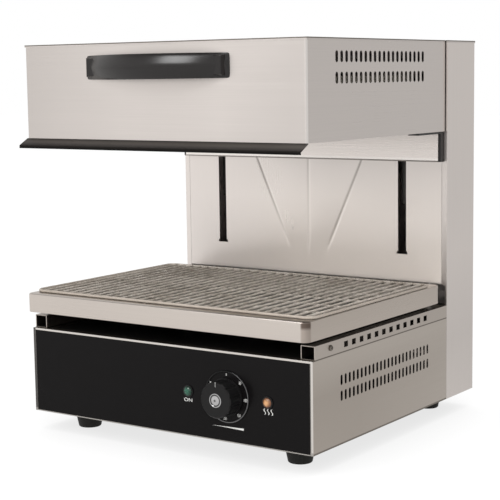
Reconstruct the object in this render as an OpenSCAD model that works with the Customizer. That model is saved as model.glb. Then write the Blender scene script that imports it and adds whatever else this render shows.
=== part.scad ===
// Cheese melter: a lift-type electric grill.
// A heated hood rides up and down a rear column over a wire grid and a drip tray.
// Units are millimetres, +Z is up and +Y is the back. The feet stand on z = 0, and x = 0, y = 0
// is the middle of the overall width and depth.

/* [Overall] */
// width of the base and the column
body_w = 450; // [400:1:520]
// depth from the control panel to the back of the column
body_d = 434; // [400:1:500]
// height of the whole machine on its feet
body_h = 522; // [500:1:580]
// thickness of the outer steel sheet
sheet = 1.2; // [1:0.1:1.5]

/* [Base] */
// height of the rubber feet
foot_h = 26; // [18:1:34]
// radius of a foot where it meets the floor plate
foot_top_r = 20; // [14:0.5:22]
// radius of a foot on the table
foot_low_r = 15.5; // [10:0.5:17]
// distance from the front feet to the front and the sides, and from the back feet to the sides
foot_inset = 52; // [36:1:70]
// distance from the back feet to the back
foot_back = 42; // [30:1:70]
// height of the box that holds the controls
base_h = 115; // [105:1:130]
// number of vent slots in each row on a side of the base
base_slots = 24; // [12:1:26]
// distance between the vent slots of the base
base_slot_pitch = 9.8; // [8:0.1:10.5]

/* [Controls] */
// distance of the dial from the right-hand end of the base
dial_in = 125; // [110:1:140]
// height of the dial and the lamps above the bottom of the base
dial_up = 58; // [50:1:64]
// radius of the temperature dial
dial_r = 33; // [30:0.5:36]
// radius of the temperature knob
knob_r = 24; // [20:0.5:26]
// height of the temperature knob
knob_h = 24; // [18:1:30]
// distance from the dial to each pilot lamp
lamp_off = 60.5; // [52:0.5:70]
// radius of a pilot lamp's lens
lens_r = 6; // [5:0.25:7]

/* [Rails and tray] */
// width of a tray rail
rail_w = 20; // [16:1:24]
// height of a tray rail
rail_h = 17.5; // [14:0.5:20]
// number of square windows in the side of a rail
rail_holes = 12; // [6:1:13]
// distance between the windows of a rail
rail_hole_pitch = 18.9; // [16:0.1:20]
// height of the drip tray
tray_h = 31.2; // [27:0.2:38]
// depth of the drip tray
tray_d = 342; // [310:1:346]
// height of the skirt that is folded down from the tray's rim
skirt_h = 25; // [18:0.5:26]
// how far the tray stands out in front of the panel
tray_out = 12; // [4:1:20]
// radius of the tray's upright corners
tray_r = 10; // [8:0.5:16]
// distance between the long wires of the grid
wire_pitch = 15; // [12:0.5:20]
// thickness of the long wires of the grid
wire_d = 3.2; // [2.6:0.2:3.6]

/* [Hood] */
// how far each side of the hood stands back from the side of the base
hood_inset = 3; // [1:0.5:6]
// depth of the hood
hood_d = 349; // [325:1:352]
// height of the hood
hood_h = 123; // [110:1:140]
// how far the hood comes down
hood_travel = 125; // [60:1:125]
// number of vent slots in each row on a side of the hood
hood_slots = 20; // [10:1:22]
// distance between the vent slots of the hood
hood_slot_pitch = 11.5; // [9.5:0.1:12]
// how far the cover plate hangs below the hood
plate_drop = 41.5; // [30:0.5:50]
// length of the handle along the hood
handle_l = 226; // [160:2:260]
// how far the handle stands out from the hood
handle_out = 38; // [32:1:46]
// height of the handle's grip
handle_h = 31; // [24:1:36]

/* [Column] */
// depth of the column
col_d = 85; // [80:1:92]
// distance from the middle to each slot for a hood arm
slot_x = 155; // [130:1:158]
// distance from the middle to each guide rod
rod_x = 185; // [178:1:187]
// radius of a guide rod
rod_r = 6; // [5:0.5:7]
// width of a slot for a hood arm
slot_w = 13; // [11:0.5:16]

/* [Fits] */
// running clearance of the bushes on the guide rods, on the radius
rod_fit = 0.06; // [0.03:0.01:0.1]
// running clearance of the knob's spindle in the thermostat, on the radius
spindle_fit = 0.05; // [0.03:0.01:0.1]
// gap between pieces that lie loosely on each other
rest_gap = 0.3; // [0.2:0.1:0.5]

/* [View] */
// name of the one piece to draw, or all

/* [Hidden] */
$fn = 48;
half_w = body_w / 2;
hood_w = body_w - 2 * hood_inset;
dial_x = half_w - dial_in;
hood_gap = 2;
gland_out = 17;
mid_y = (col_d + hood_gap + hood_d + handle_out - body_d - gland_out) / 2;
front_y = mid_y - body_d / 2;
back_y = mid_y + body_d / 2;
base_z = foot_h;
deck_z = base_z + base_h;
top_z = body_h;
col_y = back_y - col_d;
seam = 0.3;
side_in = half_w - sheet;
foot_y0 = front_y + foot_inset;
foot_y1 = back_y - foot_back;

// base details
edge_strip = 4;
top_strip = 2.6;
low_strip = 1.3;
panel_t = 2;
ledge_w = 12;
top_band = 25;
front_band = 12;
base_slot_w = 5;
base_slot_h = 12.8;
base_row_1 = deck_z - 60.3;
base_row_2 = deck_z - 40.5;
base_slot_y = front_y + 63.9;
dial_z = base_z + dial_up;
bezel_r = lens_r + 1.6;
stud_r = 4;

// rails and tray
rail_top = deck_z + rail_h;
rail_t = 1.2;
rail_y = front_y + 5.5;
rail_end = col_y - seam;
rail_l = rail_end - rail_y;
hole_w = 9.4;
hole_h = 7.2;
rail_hole_y = rail_y + 67.3;
rail_hole_z = deck_z + 9;
rail_screw_y = rail_y + 35.6;
tray_z = rail_top + rest_gap;
tray_y = front_y - tray_out;
tray_top = tray_z + tray_h;
tray_t = 1.2;
rim_w = 13;
ledge_front = 22;
ledge_back = 28;
frame_d = 4;
grid_z = tray_top + rest_gap + frame_d / 2;
grid_x = half_w - 3.5;
grid_y0 = tray_y + 17.5;
grid_y1 = tray_y + tray_d - 25.5;
grid_r = 12;
cross_d = 3.6;

// hood
hood_half = hood_w / 2;
hood_back = col_y - hood_gap;
hood_front = hood_back - hood_d;
plate_y = hood_back - 7;
hood_z = top_z - hood_h;
hood_top_h = 3;
hood_wall_z = top_z - hood_top_h;
hood_in = hood_half - sheet;
bend_r = 4;
turn_in = 10;
hood_slot_w = 6.4;
hood_slot_h = 14;
hood_row_1 = top_z - 54.8;
hood_row_2 = top_z - 29.3;
hood_slot_y = hood_front + 63.2;
plate_half = hood_half - 6;
plate_z = hood_z - plate_drop;
lip_out = 16;
lip_drop = 12.5;
lip_t = 1.5;
handle_z = top_z - 31;
handle_t = 7;
handle_half = handle_l / 2;
handle_r = (handle_half * handle_half + handle_out * handle_out) / (2 * handle_out);

// heating deck in the hood
pan_t = 1;
pan_half = hood_half - 32;
pan_h = 50;
pan_z = hood_z + sheet;
pan_top = pan_z + pan_h;
pan_slope = 14;
pan_f = hood_front + 20;
pan_b = plate_y - 11;
tube_r = 4;
tube_z = pan_z + 18;
tube_bend = 25;
tube_gap = (pan_b - pan_f - 2 * tube_bend - 50) / 2;
tube_y = pan_f + 25 + tube_bend;

// lift inside the column
rod_y = col_y + 23;
bar_t = 12;
top_bar_z = top_z - 34;
low_bar_z = hood_z - 257;
block_w = 26;
block_d = 28;
block_h = 70;
block_z = hood_z - 37;
bush_r = rod_r + 2;
arm_t = 8;
arm_h = 30;
arm_z = hood_z - 34;
slot_low = arm_z - hood_travel - 10;
slot_high = arm_z + arm_h + 5;
slot_foot = 4;
guard_y = col_y + 12;
guard_z = hood_z - 103;
guard_t = 3;
frame_t = 1.5;
frame_back = col_y - 1;
tie_t = 4;
tie_y = rod_y + block_d / 2;
tie_z = hood_z - 19;
tie_h = 44;
spring_x = 95;
spring_y = tie_y + 11;
spring_r = 9;
shelf_z = hood_z - 333;
shelf_t = 4;
shelf_half = 125;
spring_top = hood_z - hood_travel - 34;
spring_foot = shelf_z + shelf_t;
piston_r = 7.2;
piston_h = 8;
gas_rod_r = 4;

// column skin
front_low = hood_z - 212;
flange_w = 8;
flange_low = front_low - 1;
jamb_w = 3;
cap_h = 3.2;
col_wall_z = top_z - cap_h;
crease_r = 3;
crease_in = 0.7;
hem_r = 2.6;
hem_h = hem_r + 7;

// colours
steel = [0.78, 0.77, 0.75];
steel_2 = [0.70, 0.69, 0.67];
black = [0.08, 0.08, 0.09];
dark = [0.16, 0.16, 0.17];

// ---------- helpers ----------

// a flat sheet that faces left or right: the outline is drawn in depth and height
module side_sheet(x, t)
{
  translate([x, 0, 0])
    rotate([90, 0, 90])
      linear_extrude(height = t)
        children();
}

// a flat sheet that faces the front: the outline is drawn in width and height
module front_sheet(y, t)
{
  translate([0, y + t, 0])
    rotate([90, 0, 0])
      linear_extrude(height = t)
        children();
}

// a row of upright slots with round ends, drawn in depth and height
module slot_row(y, z, count, pitch, w, h)
{
  for (i = [0 : count - 1])
    translate([y + i * pitch, z])
    {
      translate([0, w / 2])
        square([w, h - w]);
      translate([w / 2, w / 2])
        circle(d = w, $fn = 16);
      translate([w / 2, h - w / 2])
        circle(d = w, $fn = 16);
    }
}

// a pair of pieces, one on each side of the middle
module both_sides()
{
  children();
  mirror([1, 0, 0])
    children();
}

// a hexagon head or nut that points along +Z
module hex(across, h)
{
  cylinder(d = across / cos(30), h = h, $fn = 6);
}

// a pan-head screw with a cross recess that points along +Z
module pan_screw(r, head_h, shank_r, shank_l)
{
  difference()
  {
    union()
    {
      cylinder(r = r, h = head_h * 0.55, $fn = 32);
      translate([0, 0, head_h * 0.55])
        cylinder(r1 = r, r2 = r * 0.72, h = head_h * 0.45, $fn = 32);
      translate([0, 0, -shank_l])
        cylinder(r = shank_r, h = shank_l + 0.01, $fn = 24);
    }
    for (a = [0, 90])
      rotate([0, 0, a])
        translate([-r * 0.55, -r * 0.11, head_h * 0.45])
          cube([r * 1.1, r * 0.22, head_h]);
  }
}

// ---------- base ----------

// folded box of the base: two slotted sides, a top rim and the frame of the panel
module base_shell()
{
  d = col_y - seam - front_y;
  color(steel)
  {
    both_sides()
    {
      side_sheet(side_in, sheet)
        difference()
        {
          translate([front_y, base_z])
            square([d, base_h]);
          slot_row(base_slot_y, base_row_1, base_slots, base_slot_pitch, base_slot_w, base_slot_h);
          slot_row(base_slot_y, base_row_2, base_slots, base_slot_pitch, base_slot_w, base_slot_h);
        }
      translate([half_w - top_band, front_y, deck_z - sheet])
        cube([top_band - sheet, d, sheet]);
      translate([half_w - edge_strip, front_y, base_z])
        cube([edge_strip - sheet, sheet, base_h]);
      translate([side_in - ledge_w, front_y + panel_t, base_z + 4])
        cube([ledge_w, sheet, base_h - 8]);
    }
    translate([-side_in, front_y, deck_z - sheet])
      cube([2 * side_in, front_band, sheet]);
    translate([-side_in, front_y, deck_z - top_strip])
      cube([2 * side_in, sheet, top_strip]);
    translate([-side_in, front_y, base_z])
      cube([2 * side_in, sheet, low_strip]);
  }
}

// dark plate that closes the top of the base between the rails
module deck_plate()
{
  w = half_w - top_band + 6;
  y0 = front_y + front_band - 5;
  color(dark)
    translate([-w, y0, deck_z - 2 * sheet])
      cube([2 * w, col_y - seam - y0, sheet]);
}

// floor of the base with turned-up edges, vents and the holes for the feet
module base_floor()
{
  y0 = front_y + 12;
  y1 = back_y - sheet;
  foot_x = half_w - foot_inset;
  color(steel_2)
  {
    difference()
    {
      translate([-side_in, y0, base_z])
        cube([2 * side_in, y1 - y0, sheet]);
      for (x = [-foot_x, foot_x], y = [foot_y0, foot_y1])
        translate([x, y, base_z - 1])
          cylinder(r = stud_r, h = sheet + 2, $fn = 32);
      for (i = [0 : 8])
        translate([-84 + i * 20, mid_y - 60, base_z - 1])
          cube([8, 120, sheet + 2]);
      both_sides()
        translate([side_in - 3, y1 - 3, base_z - 1])
          cube([4, 4, sheet + 2]);
    }
    both_sides()
      translate([side_in - sheet, y0, base_z + sheet])
        cube([sheet, col_y - 3 - y0, 12]);
    translate([-side_in + sheet, y0, base_z + sheet])
      cube([2 * side_in - 2 * sheet, sheet, 10]);
  }
}

// glossy control panel with the openings for the dial and the two lamps
module control_panel()
{
  w = half_w - edge_strip - seam;
  z0 = base_z + low_strip + seam;
  z1 = deck_z - top_strip - seam;
  color(black)
    front_sheet(front_y, panel_t)
      difference()
      {
        translate([-w, z0])
          square([2 * w, z1 - z0]);
        translate([dial_x, dial_z])
          circle(r = 6, $fn = 32);
        for (s = [-1, 1])
          translate([dial_x + s * lamp_off, dial_z])
            circle(r = lens_r + 0.5, $fn = 32);
      }
}

// printed disc under the knob with raised scale marks
module dial_plate()
{
  color(black)
    translate([dial_x, front_y, dial_z])
      rotate([90, 0, 0])
      {
        difference()
        {
          cylinder(r = dial_r - 1.8, h = 1.2);
          translate([0, 0, -1])
            cylinder(r = 6, h = 4, $fn = 32);
        }
        for (i = [0 : 10])
          rotate([0, 0, 90 - i * 28])
            translate([dial_r - 6.5, -0.6, 1.2])
              cube([3.4, 1.2, 0.3]);
      }
}

// bright ring round the dial
module dial_ring()
{
  color([0.85, 0.85, 0.86])
    translate([dial_x, front_y, dial_z])
      rotate([90, 0, 0])
        rotate_extrude()
        {
          translate([dial_r - 1.8, 0])
            square([1.8, 1.6]);
          translate([dial_r - 0.9, 1.6])
            circle(r = 0.9, $fn = 24);
        }
}

// turning knob: a skirt, a drum with finger flutes and a socket for the spindle
module knob_body()
{
  z0 = 1.2 + 0.3 + rest_gap;
  color(black)
    translate([dial_x, front_y, dial_z])
      rotate([90, 0, 0])
        difference()
        {
          union()
          {
            translate([0, 0, z0])
              cylinder(r = knob_r, h = 3);
            translate([0, 0, z0 + 3])
              cylinder(r = knob_r - 1.2, h = knob_h - 4.5);
            translate([0, 0, z0 + knob_h - 1.5])
              cylinder(r1 = knob_r - 1.2, r2 = knob_r - 2.7, h = 1.5);
          }
          for (a = [15 : 30 : 345])
            rotate([0, 0, 90 + a])
              translate([knob_r + 0.4, 0, z0 + 3])
                cylinder(r = 2.4, h = knob_h, $fn = 20);
          translate([0, 0, z0 + knob_h - 0.8])
            cylinder(r = 9, h = 3);
          translate([-0.8, knob_r - 8, z0 + knob_h - 0.8])
            cube([1.6, 10, 3]);
          translate([0, 0, z0 - 1])
            cylinder(r = 3, h = knob_h - 5, $fn = 32);
        }
}

// bright cap in the face of the knob
module knob_cap()
{
  z0 = 1.5 + rest_gap + knob_h - 0.8;
  color([0.86, 0.86, 0.87])
    translate([dial_x, front_y - z0, dial_z])
      rotate([90, 0, 0])
        rotate_extrude()
        {
          square([9, 0.9]);
          difference()
          {
            translate([0, 0.9])
              square([8.2, 1.1]);
            translate([8.2, 2])
              circle(r = 0.8, $fn = 24);
          }
        }
}

// spindle that turns in the thermostat and carries the knob
module knob_spindle()
{
  color([0.8, 0.8, 0.8])
    translate([dial_x, front_y + 20, dial_z])
      rotate([90, 0, 0])
        cylinder(r = 3, h = 20 + knob_h - 5 + 0.5 + rest_gap, $fn = 48);
}

// thermostat behind the panel: threaded neck, case and tabs
module thermostat()
{
  neck = front_y + panel_t;
  color([0.75, 0.72, 0.60])
    difference()
    {
      union()
      {
        translate([dial_x, neck + 6, dial_z])
          rotate([90, 0, 0])
            cylinder(r = 5.2, h = 6);
        translate([dial_x, neck, dial_z])
          rotate([-90, 0, 0])
            hex(15, 2.5);
        translate([dial_x - 22, neck + 6, dial_z - 18])
          cube([44, 30, 36]);
        for (s = [-1, 1])
          translate([dial_x + s * 12 - 3, neck + 36, dial_z + 4])
            cube([6, 9, 0.8]);
      }
      translate([dial_x, front_y + 24, dial_z])
        rotate([90, 0, 0])
          cylinder(r = 3 + spindle_fit, h = 40, $fn = 48);
    }
}

// domed lens of a pilot lamp
module lens(side)
{
  translate([dial_x + side * lamp_off, front_y, dial_z])
    rotate([90, 0, 0])
      rotate_extrude($fn = 40)
      {
        square([lens_r, 2.2]);
        intersection()
        {
          translate([0, 2.2])
            square([lens_r, 4]);
          translate([0, -3.6])
            circle(r = 8.3, $fn = 64);
        }
      }
}

// bezel, neck and body of a pilot lamp
module holder(side)
{
  translate([dial_x + side * lamp_off, front_y, dial_z])
    rotate([90, 0, 0])
    {
      difference()
      {
        cylinder(r = bezel_r, h = 1.6);
        translate([0, 0, -1])
          cylinder(r = lens_r, h = 4, $fn = 40);
      }
      translate([0, 0, -26])
        cylinder(r = lens_r, h = 26, $fn = 32);
      translate([0, 0, -panel_t - 3])
        difference()
        {
          hex(bezel_r * 2, 3);
          translate([0, 0, -1])
            cylinder(r = lens_r - 0.5, h = 5, $fn = 32);
        }
      for (s = [-1, 1])
        translate([s * 3 - 0.4, -2.4, -34])
          cube([0.8, 4.8, 9]);
    }
}

module green_lens()
{
  color([0.1, 0.6, 0.3])
    lens(-1);
}

module green_holder()
{
  color(black)
    holder(-1);
}

module amber_lens()
{
  color([0.95, 0.5, 0.1])
    lens(1);
}

module amber_holder()
{
  color(black)
    holder(1);
}

// tapered rubber foot with a moulded-in stud
module foot(sx, sy)
{
  x = sx * (half_w - foot_inset);
  y = sy < 0 ? foot_y0 : foot_y1;
  color(black)
    translate([x, y, 0])
    {
      rotate_extrude()
      {
        polygon([[0, 0], [foot_low_r - 1, 0], [foot_low_r, 1], [foot_top_r - 0.6, foot_h - 6],
          [0, foot_h - 6]]);
        translate([0, foot_h - 6])
          square([foot_top_r - 1.6, 2]);
        translate([0, foot_h - 4])
          square([foot_top_r, 4]);
      }
      translate([0, 0, foot_h - 1])
        cylinder(r = stud_r, h = 14, $fn = 32);
    }
}

module foot_front_left()
{
  foot(-1, -1);
}

module foot_front_right()
{
  foot(1, -1);
}

module foot_back_left()
{
  foot(-1, 1);
}

module foot_back_right()
{
  foot(1, 1);
}

// hexagon nuts that hold the feet on the floor of the base
module foot_nuts()
{
  foot_x = half_w - foot_inset;
  color(steel_2)
    for (x = [-foot_x, foot_x], y = [foot_y0, foot_y1])
      translate([x, y, base_z + sheet])
        difference()
        {
          hex(13, 6);
          translate([0, 0, -1])
            cylinder(r = stud_r, h = 8, $fn = 32);
        }
}

// ---------- rails ----------

// hollow rail with square windows in its outer wall
module rail()
{
  x0 = half_w - rail_w;
  color(steel)
  {
    side_sheet(half_w - rail_t, rail_t)
      difference()
      {
        translate([rail_y, deck_z])
          square([rail_l, rail_h]);
        for (i = [0 : rail_holes - 1])
          translate([rail_hole_y + i * rail_hole_pitch, rail_hole_z - hole_h / 2])
            square([hole_w, hole_h]);
        translate([rail_screw_y, rail_hole_z + 1])
          circle(r = 2, $fn = 24);
      }
    translate([x0, rail_y, deck_z])
      cube([rail_w - rail_t, rail_l, rail_t]);
    translate([x0, rail_y, rail_top - rail_t])
      cube([rail_w - rail_t, rail_l, rail_t]);
    translate([x0, rail_y, deck_z + rail_t])
      cube([rail_t, rail_l, rail_h - 2 * rail_t]);
  }
}

module rail_right()
{
  rail();
}

module rail_left()
{
  mirror([1, 0, 0])
    rail();
}

// screws in the outer walls of the two rails
module rail_screws()
{
  color([0.6, 0.6, 0.6])
    both_sides()
      translate([half_w, rail_screw_y, rail_hole_z + 1])
        rotate([0, 90, 0])
          pan_screw(3.6, 2.2, 2, 8);
}

// terminal block on the floor of the base, near the cable gland
module terminal_block()
{
  color([0.85, 0.84, 0.80])
    translate([-185, back_y - 90, base_z + sheet])
      difference()
      {
        cube([54, 22, 24]);
        for (i = [0 : 4])
        {
          translate([2 + i * 10.4, -1, 14])
            cube([8.4, 8, 12]);
          translate([6.2 + i * 10.4, 14, 10])
            cylinder(r = 2.4, h = 20, $fn = 20);
        }
      }
}

// ---------- column ----------

// wrap of the column: two sides, the back with its vents, and the front flanges
module column_shell()
{
  h = col_wall_z - base_z;
  r = 3;
  color(steel)
  {
    both_sides()
    {
      translate([side_in, col_y, base_z])
        cube([sheet, col_d - r, h]);
      translate([half_w - r, back_y - r, base_z])
        rotate_extrude(angle = 90)
          translate([r - sheet, 0])
            square([sheet, h]);
      translate([half_w - flange_w, col_y, flange_low])
        cube([flange_w - sheet, sheet, col_wall_z - flange_low]);
      translate([half_w - jamb_w, col_y, base_z])
        cube([jamb_w - sheet, sheet, flange_low - base_z]);
      translate([half_w - flange_w - 12, col_y + sheet, front_low + hem_h])
        cube([18, sheet, col_wall_z - front_low - hem_h]);
    }
    front_sheet(back_y - sheet, sheet)
      difference()
      {
        translate([-half_w + r, base_z])
          square([body_w - 2 * r, h]);
        for (row = [0 : 7])
          for (s = [-1, 1])
            translate([s * 55 - 45, top_z - 110 + row * 10])
            {
              square([90, 4]);
              translate([0, 2])
                circle(d = 4, $fn = 16);
              translate([90, 2])
                circle(d = 4, $fn = 16);
            }
        for (row = [0 : 4])
          translate([40, base_z + 30 + row * 12])
            square([120, 5]);
        translate([-150, base_z + 54])
          circle(r = 10, $fn = 40);
      }
  }
}

// one pressed crease of the front panel: a shallow groove with tapered ends
module crease(x0, z0, x1, z1)
{
  l = sqrt((x1 - x0) * (x1 - x0) + (z1 - z0) * (z1 - z0));
  a = atan2(x1 - x0, z1 - z0);
  translate([x0, col_y - crease_r + crease_in, z0])
    rotate([0, a, 0])
      cylinder(r = crease_r, h = l, $fn = 24);
}

// rolled edge with a short return, drawn in depth and height
module hem()
{
  r = hem_r;
  difference()
  {
    translate([r, 0])
      circle(r = r, $fn = 48);
    translate([r, 0])
      circle(r = r - sheet, $fn = 48);
    translate([-1, 0])
      square([2 * r + 2, r + 1]);
  }
  translate([2 * r - sheet, 0])
    square([sheet, 6]);
}

// front panel of the column: two slots for the arms, three creases and a rolled lower edge
module column_front()
{
  w = half_w - flange_w - seam;
  up = plate_z - 5;
  low = slot_low - 8;
  color(steel)
  {
    difference()
    {
      front_sheet(col_y, sheet)
        difference()
        {
          translate([-w, front_low + hem_r])
            square([2 * w, col_wall_z - front_low - hem_r]);
          for (s = [-1, 1])
          {
            translate([s * slot_x - slot_w / 2, slot_low])
              square([slot_w, slot_high - slot_low]);
            translate([s * slot_x - slot_w / 2 - 2, slot_low - slot_foot])
              square([slot_w + 4, slot_foot]);
          }
        }
      crease(0, low - 8, 0, up + 20);
      crease(34, low, 88, up);
      crease(-34, low, -88, up);
    }
    side_sheet(-w, 2 * w)
      translate([col_y, front_low + hem_r])
        hem();
  }
}

// lid of the column with a short turned-down rim
module column_cap()
{
  color(steel)
    difference()
    {
      translate([-half_w, col_y, col_wall_z])
        cube([body_w, col_d, cap_h]);
      translate([-side_in, col_y + sheet, col_wall_z - 1])
        cube([2 * side_in, col_d - 2 * sheet, cap_h - sheet + 1]);
    }
}

// screws in the back of the column
module back_screws()
{
  color([0.6, 0.6, 0.6])
    for (x = [-195, 0, 195], z = [base_z + 20, top_z - 20])
      translate([x, back_y, z])
        rotate([-90, 0, 0])
          cylinder(r = 3.8, h = 2, $fn = 32);
}

// threaded gland for the supply lead in the back of the column
module cable_gland()
{
  color(dark)
    translate([-150, back_y, base_z + 54])
      rotate([-90, 0, 0])
        difference()
        {
          union()
          {
            translate([0, 0, -12])
              cylinder(r = 10, h = 13, $fn = 40);
            hex(24, 5);
            translate([0, 0, 5])
              cylinder(r = 10.5, h = 8, $fn = 40);
            translate([0, 0, 13])
              cylinder(r1 = 10.5, r2 = 8, h = gland_out - 13, $fn = 40);
            translate([0, 0, -sheet - 4])
              hex(24, 4);
          }
          translate([0, 0, -20])
            cylinder(r = 5.5, h = 50, $fn = 40);
        }
}

// two polished guide rods
module guide_rods()
{
  color([0.85, 0.85, 0.86])
    both_sides()
      translate([rod_x, rod_y, low_bar_z])
        cylinder(r = rod_r, h = top_bar_z + bar_t - low_bar_z, $fn = 64);
}

// cross bar with two rod seats and end tabs on the walls of the column
module rod_bar(z)
{
  difference()
  {
    union()
    {
      translate([-side_in, rod_y - 12, z])
        cube([2 * side_in, 24, bar_t]);
      both_sides()
        translate([side_in - 3, rod_y - 12, z + bar_t])
          cube([3, 24, 10]);
    }
    both_sides()
      translate([rod_x, rod_y, z - 1])
        cylinder(r = rod_r, h = bar_t + 2, $fn = 64);
  }
}

module top_bar()
{
  color(steel_2)
    rod_bar(top_bar_z);
}

module low_bar()
{
  color(steel_2)
    rod_bar(low_bar_z);
}

// shelf on the back wall that carries the gas springs
module spring_shelf()
{
  d = back_y - sheet - spring_y + 16;
  color(steel_2)
  {
    translate([-shelf_half, spring_y - 16, shelf_z])
      cube([2 * shelf_half, d, shelf_t]);
    translate([-shelf_half, spring_y - 16, shelf_z - 10])
      cube([2 * shelf_half, 3, 10]);
    translate([-shelf_half, back_y - sheet - 3, shelf_z + shelf_t])
      cube([2 * shelf_half, 3, 22]);
    both_sides()
      side_sheet(shelf_half - 3, 3)
        polygon([[spring_y - 13, shelf_z], [spring_y - 16 + d, shelf_z],
          [spring_y - 16 + d, shelf_z - 14], [spring_y - 13, shelf_z - 4]]);
  }
}

// the pressure tubes of the two gas springs
module gas_springs()
{
  h = spring_top - spring_foot;
  color(black)
    both_sides()
      translate([spring_x, spring_y, spring_foot])
        rotate_extrude($fn = 48)
        {
          square([spring_r, 4]);
          translate([piston_r + 0.3, 0])
            square([spring_r - piston_r - 0.3, h]);
          translate([gas_rod_r + 0.1, h - 5])
            square([spring_r - gas_rod_r - 0.1, 5]);
        }
}

// piston rods of the gas springs, with their pistons
module gas_rods()
{
  low = spring_top - 5 - 3 - piston_h;
  color([0.85, 0.85, 0.86])
    both_sides()
      translate([spring_x, spring_y, low])
      {
        cylinder(r = piston_r, h = piston_h, $fn = 48);
        cylinder(r = gas_rod_r, h = tie_z - low, $fn = 48);
      }
}

// blocks that slide on the guide rods
module slider_blocks()
{
  color([0.72, 0.73, 0.75])
    both_sides()
      difference()
      {
        translate([rod_x - block_w / 2, rod_y - block_d / 2, block_z])
          cube([block_w, block_d, block_h]);
        translate([rod_x, rod_y, block_z - 1])
          cylinder(r = bush_r, h = block_h + 2, $fn = 64);
      }
}

// flanged bushes, one at each end of each block
module slider_bushes()
{
  color([0.75, 0.6, 0.3])
    both_sides()
      for (m = [0, 1])
        translate([rod_x, rod_y, block_z + m * block_h])
          mirror([0, 0, m])
            difference()
            {
              union()
              {
                cylinder(r = bush_r, h = 16, $fn = 64);
                translate([0, 0, -2])
                  cylinder(r = bush_r + 3, h = 2, $fn = 64);
              }
              translate([0, 0, -3])
                cylinder(r = rod_r + rod_fit, h = 20, $fn = 64);
            }
}

// plate that ties the two blocks and rests on the gas springs
module tie_plate()
{
  w = rod_x + block_w / 2;
  color(steel_2)
  {
    difference()
    {
      translate([-w, tie_y, tie_z])
        cube([2 * w, tie_t, tie_h]);
      for (x = [-75 : 50 : 75])
        translate([x - 12, tie_y - 1, tie_z + 14])
          cube([24, tie_t + 2, 18]);
    }
    translate([-w, tie_y + tie_t, tie_z])
      cube([2 * w, 20, tie_t]);
  }
}

// arms that pass through the slots of the column, each with a strip that hangs behind its slot
module hood_arms()
{
  y0 = plate_y + frame_t;
  color(steel)
    both_sides()
    {
      translate([slot_x - arm_t / 2, y0, arm_z])
        cube([arm_t, tie_y - y0, arm_h]);
      translate([slot_x - slot_w / 2, guard_y, guard_z])
        cube([slot_w, guard_t, arm_z + arm_h - guard_z]);
    }
}

// folded frame behind the cover plate
module carriage_frame()
{
  x = hood_in - 1.2;
  h = hood_wall_z - plate_z;
  color(black)
    difference()
    {
      translate([-x, plate_y, plate_z])
        cube([2 * x, frame_back - plate_y, h]);
      translate([-x + frame_t, plate_y + frame_t, plate_z + frame_t])
        cube([2 * x - 2 * frame_t, frame_back - plate_y, h - 2 * frame_t]);
      for (x = [-80 : 80 : 80])
        translate([x, plate_y - 1, hood_wall_z - 60])
          rotate([-90, 0, 0])
            cylinder(r = 12, h = 6, $fn = 40);
    }
}

// ---------- hood ----------

// cover plate that closes the back of the hood and hangs below it
module hood_back_plate()
{
  color(steel)
  {
    front_sheet(plate_y - sheet, sheet)
      translate([-plate_half, plate_z])
        square([2 * plate_half, hood_wall_z - plate_z]);
    translate([-plate_half, plate_y - 4, plate_z])
      cube([2 * plate_half, 4 - sheet, sheet]);
  }
}

// bars under the back corners of the hood
module hood_brackets()
{
  color(black)
    both_sides()
      translate([plate_half - 12, plate_y - 64, hood_z - 3])
        cube([16, 64 - sheet, 3]);
}

// wrap of the hood: front and sides with vents, bent edges and turned-in flanges
module hood_shell()
{
  h = hood_wall_z - hood_z;
  r = bend_r;
  color(steel)
  {
    both_sides()
    {
      side_sheet(hood_in, sheet)
        difference()
        {
          translate([hood_front + r, hood_z])
            square([hood_d - r, h]);
          slot_row(hood_slot_y, hood_row_1, hood_slots, hood_slot_pitch, hood_slot_w, hood_slot_h);
          slot_row(hood_slot_y, hood_row_2, hood_slots, hood_slot_pitch, hood_slot_w, hood_slot_h);
        }
      translate([hood_half - r, hood_front + r, hood_z])
        rotate([0, 0, -90])
          rotate_extrude(angle = 90)
            translate([r - sheet, 0])
              square([sheet, h]);
      translate([hood_half - r - turn_in, hood_front + r, hood_z])
        cube([turn_in + r - sheet, plate_y - 3 - hood_front - r, sheet]);
      translate([plate_half - 6, plate_y - 2 * sheet, hood_z + 8])
        cube([hood_in - plate_half + 6, sheet, h - 8]);
    }
    translate([-hood_half + r, hood_front, hood_z])
      cube([hood_w - 2 * r, sheet, h]);
    translate([-hood_half + r, hood_front + sheet, hood_z])
      cube([hood_w - 2 * r, turn_in, sheet]);
  }
}

// lid of the hood with a short turned-down rim
module hood_top()
{
  color(steel)
    difference()
    {
      translate([-hood_half, hood_front, hood_wall_z])
        cube([hood_w, hood_d, hood_top_h]);
      translate([-hood_in, hood_front + sheet, hood_wall_z - 1])
        cube([2 * hood_in, hood_d - 2 * sheet, hood_top_h - sheet + 1]);
    }
}

// flared strip under the front edge of the hood
module front_lip()
{
  y = hood_front;
  z = hood_z;
  x = hood_half - 9;
  color(black)
  {
    side_sheet(-hood_half, hood_w)
      polygon([[y + 0.9, z], [y, z], [y - lip_out + 0.6, z - lip_drop + 4.2],
        [y - lip_out, z - lip_drop + 3.2], [y - lip_out, z - lip_drop],
        [y - lip_out + lip_t, z - lip_drop], [y - lip_out + lip_t, z - lip_drop + 2.8],
        [y + 0.9, z - lip_t + 0.2]]);
    translate([-x, y + 0.5, z - lip_t])
      cube([2 * x, 15.5, lip_t]);
  }
}

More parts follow.
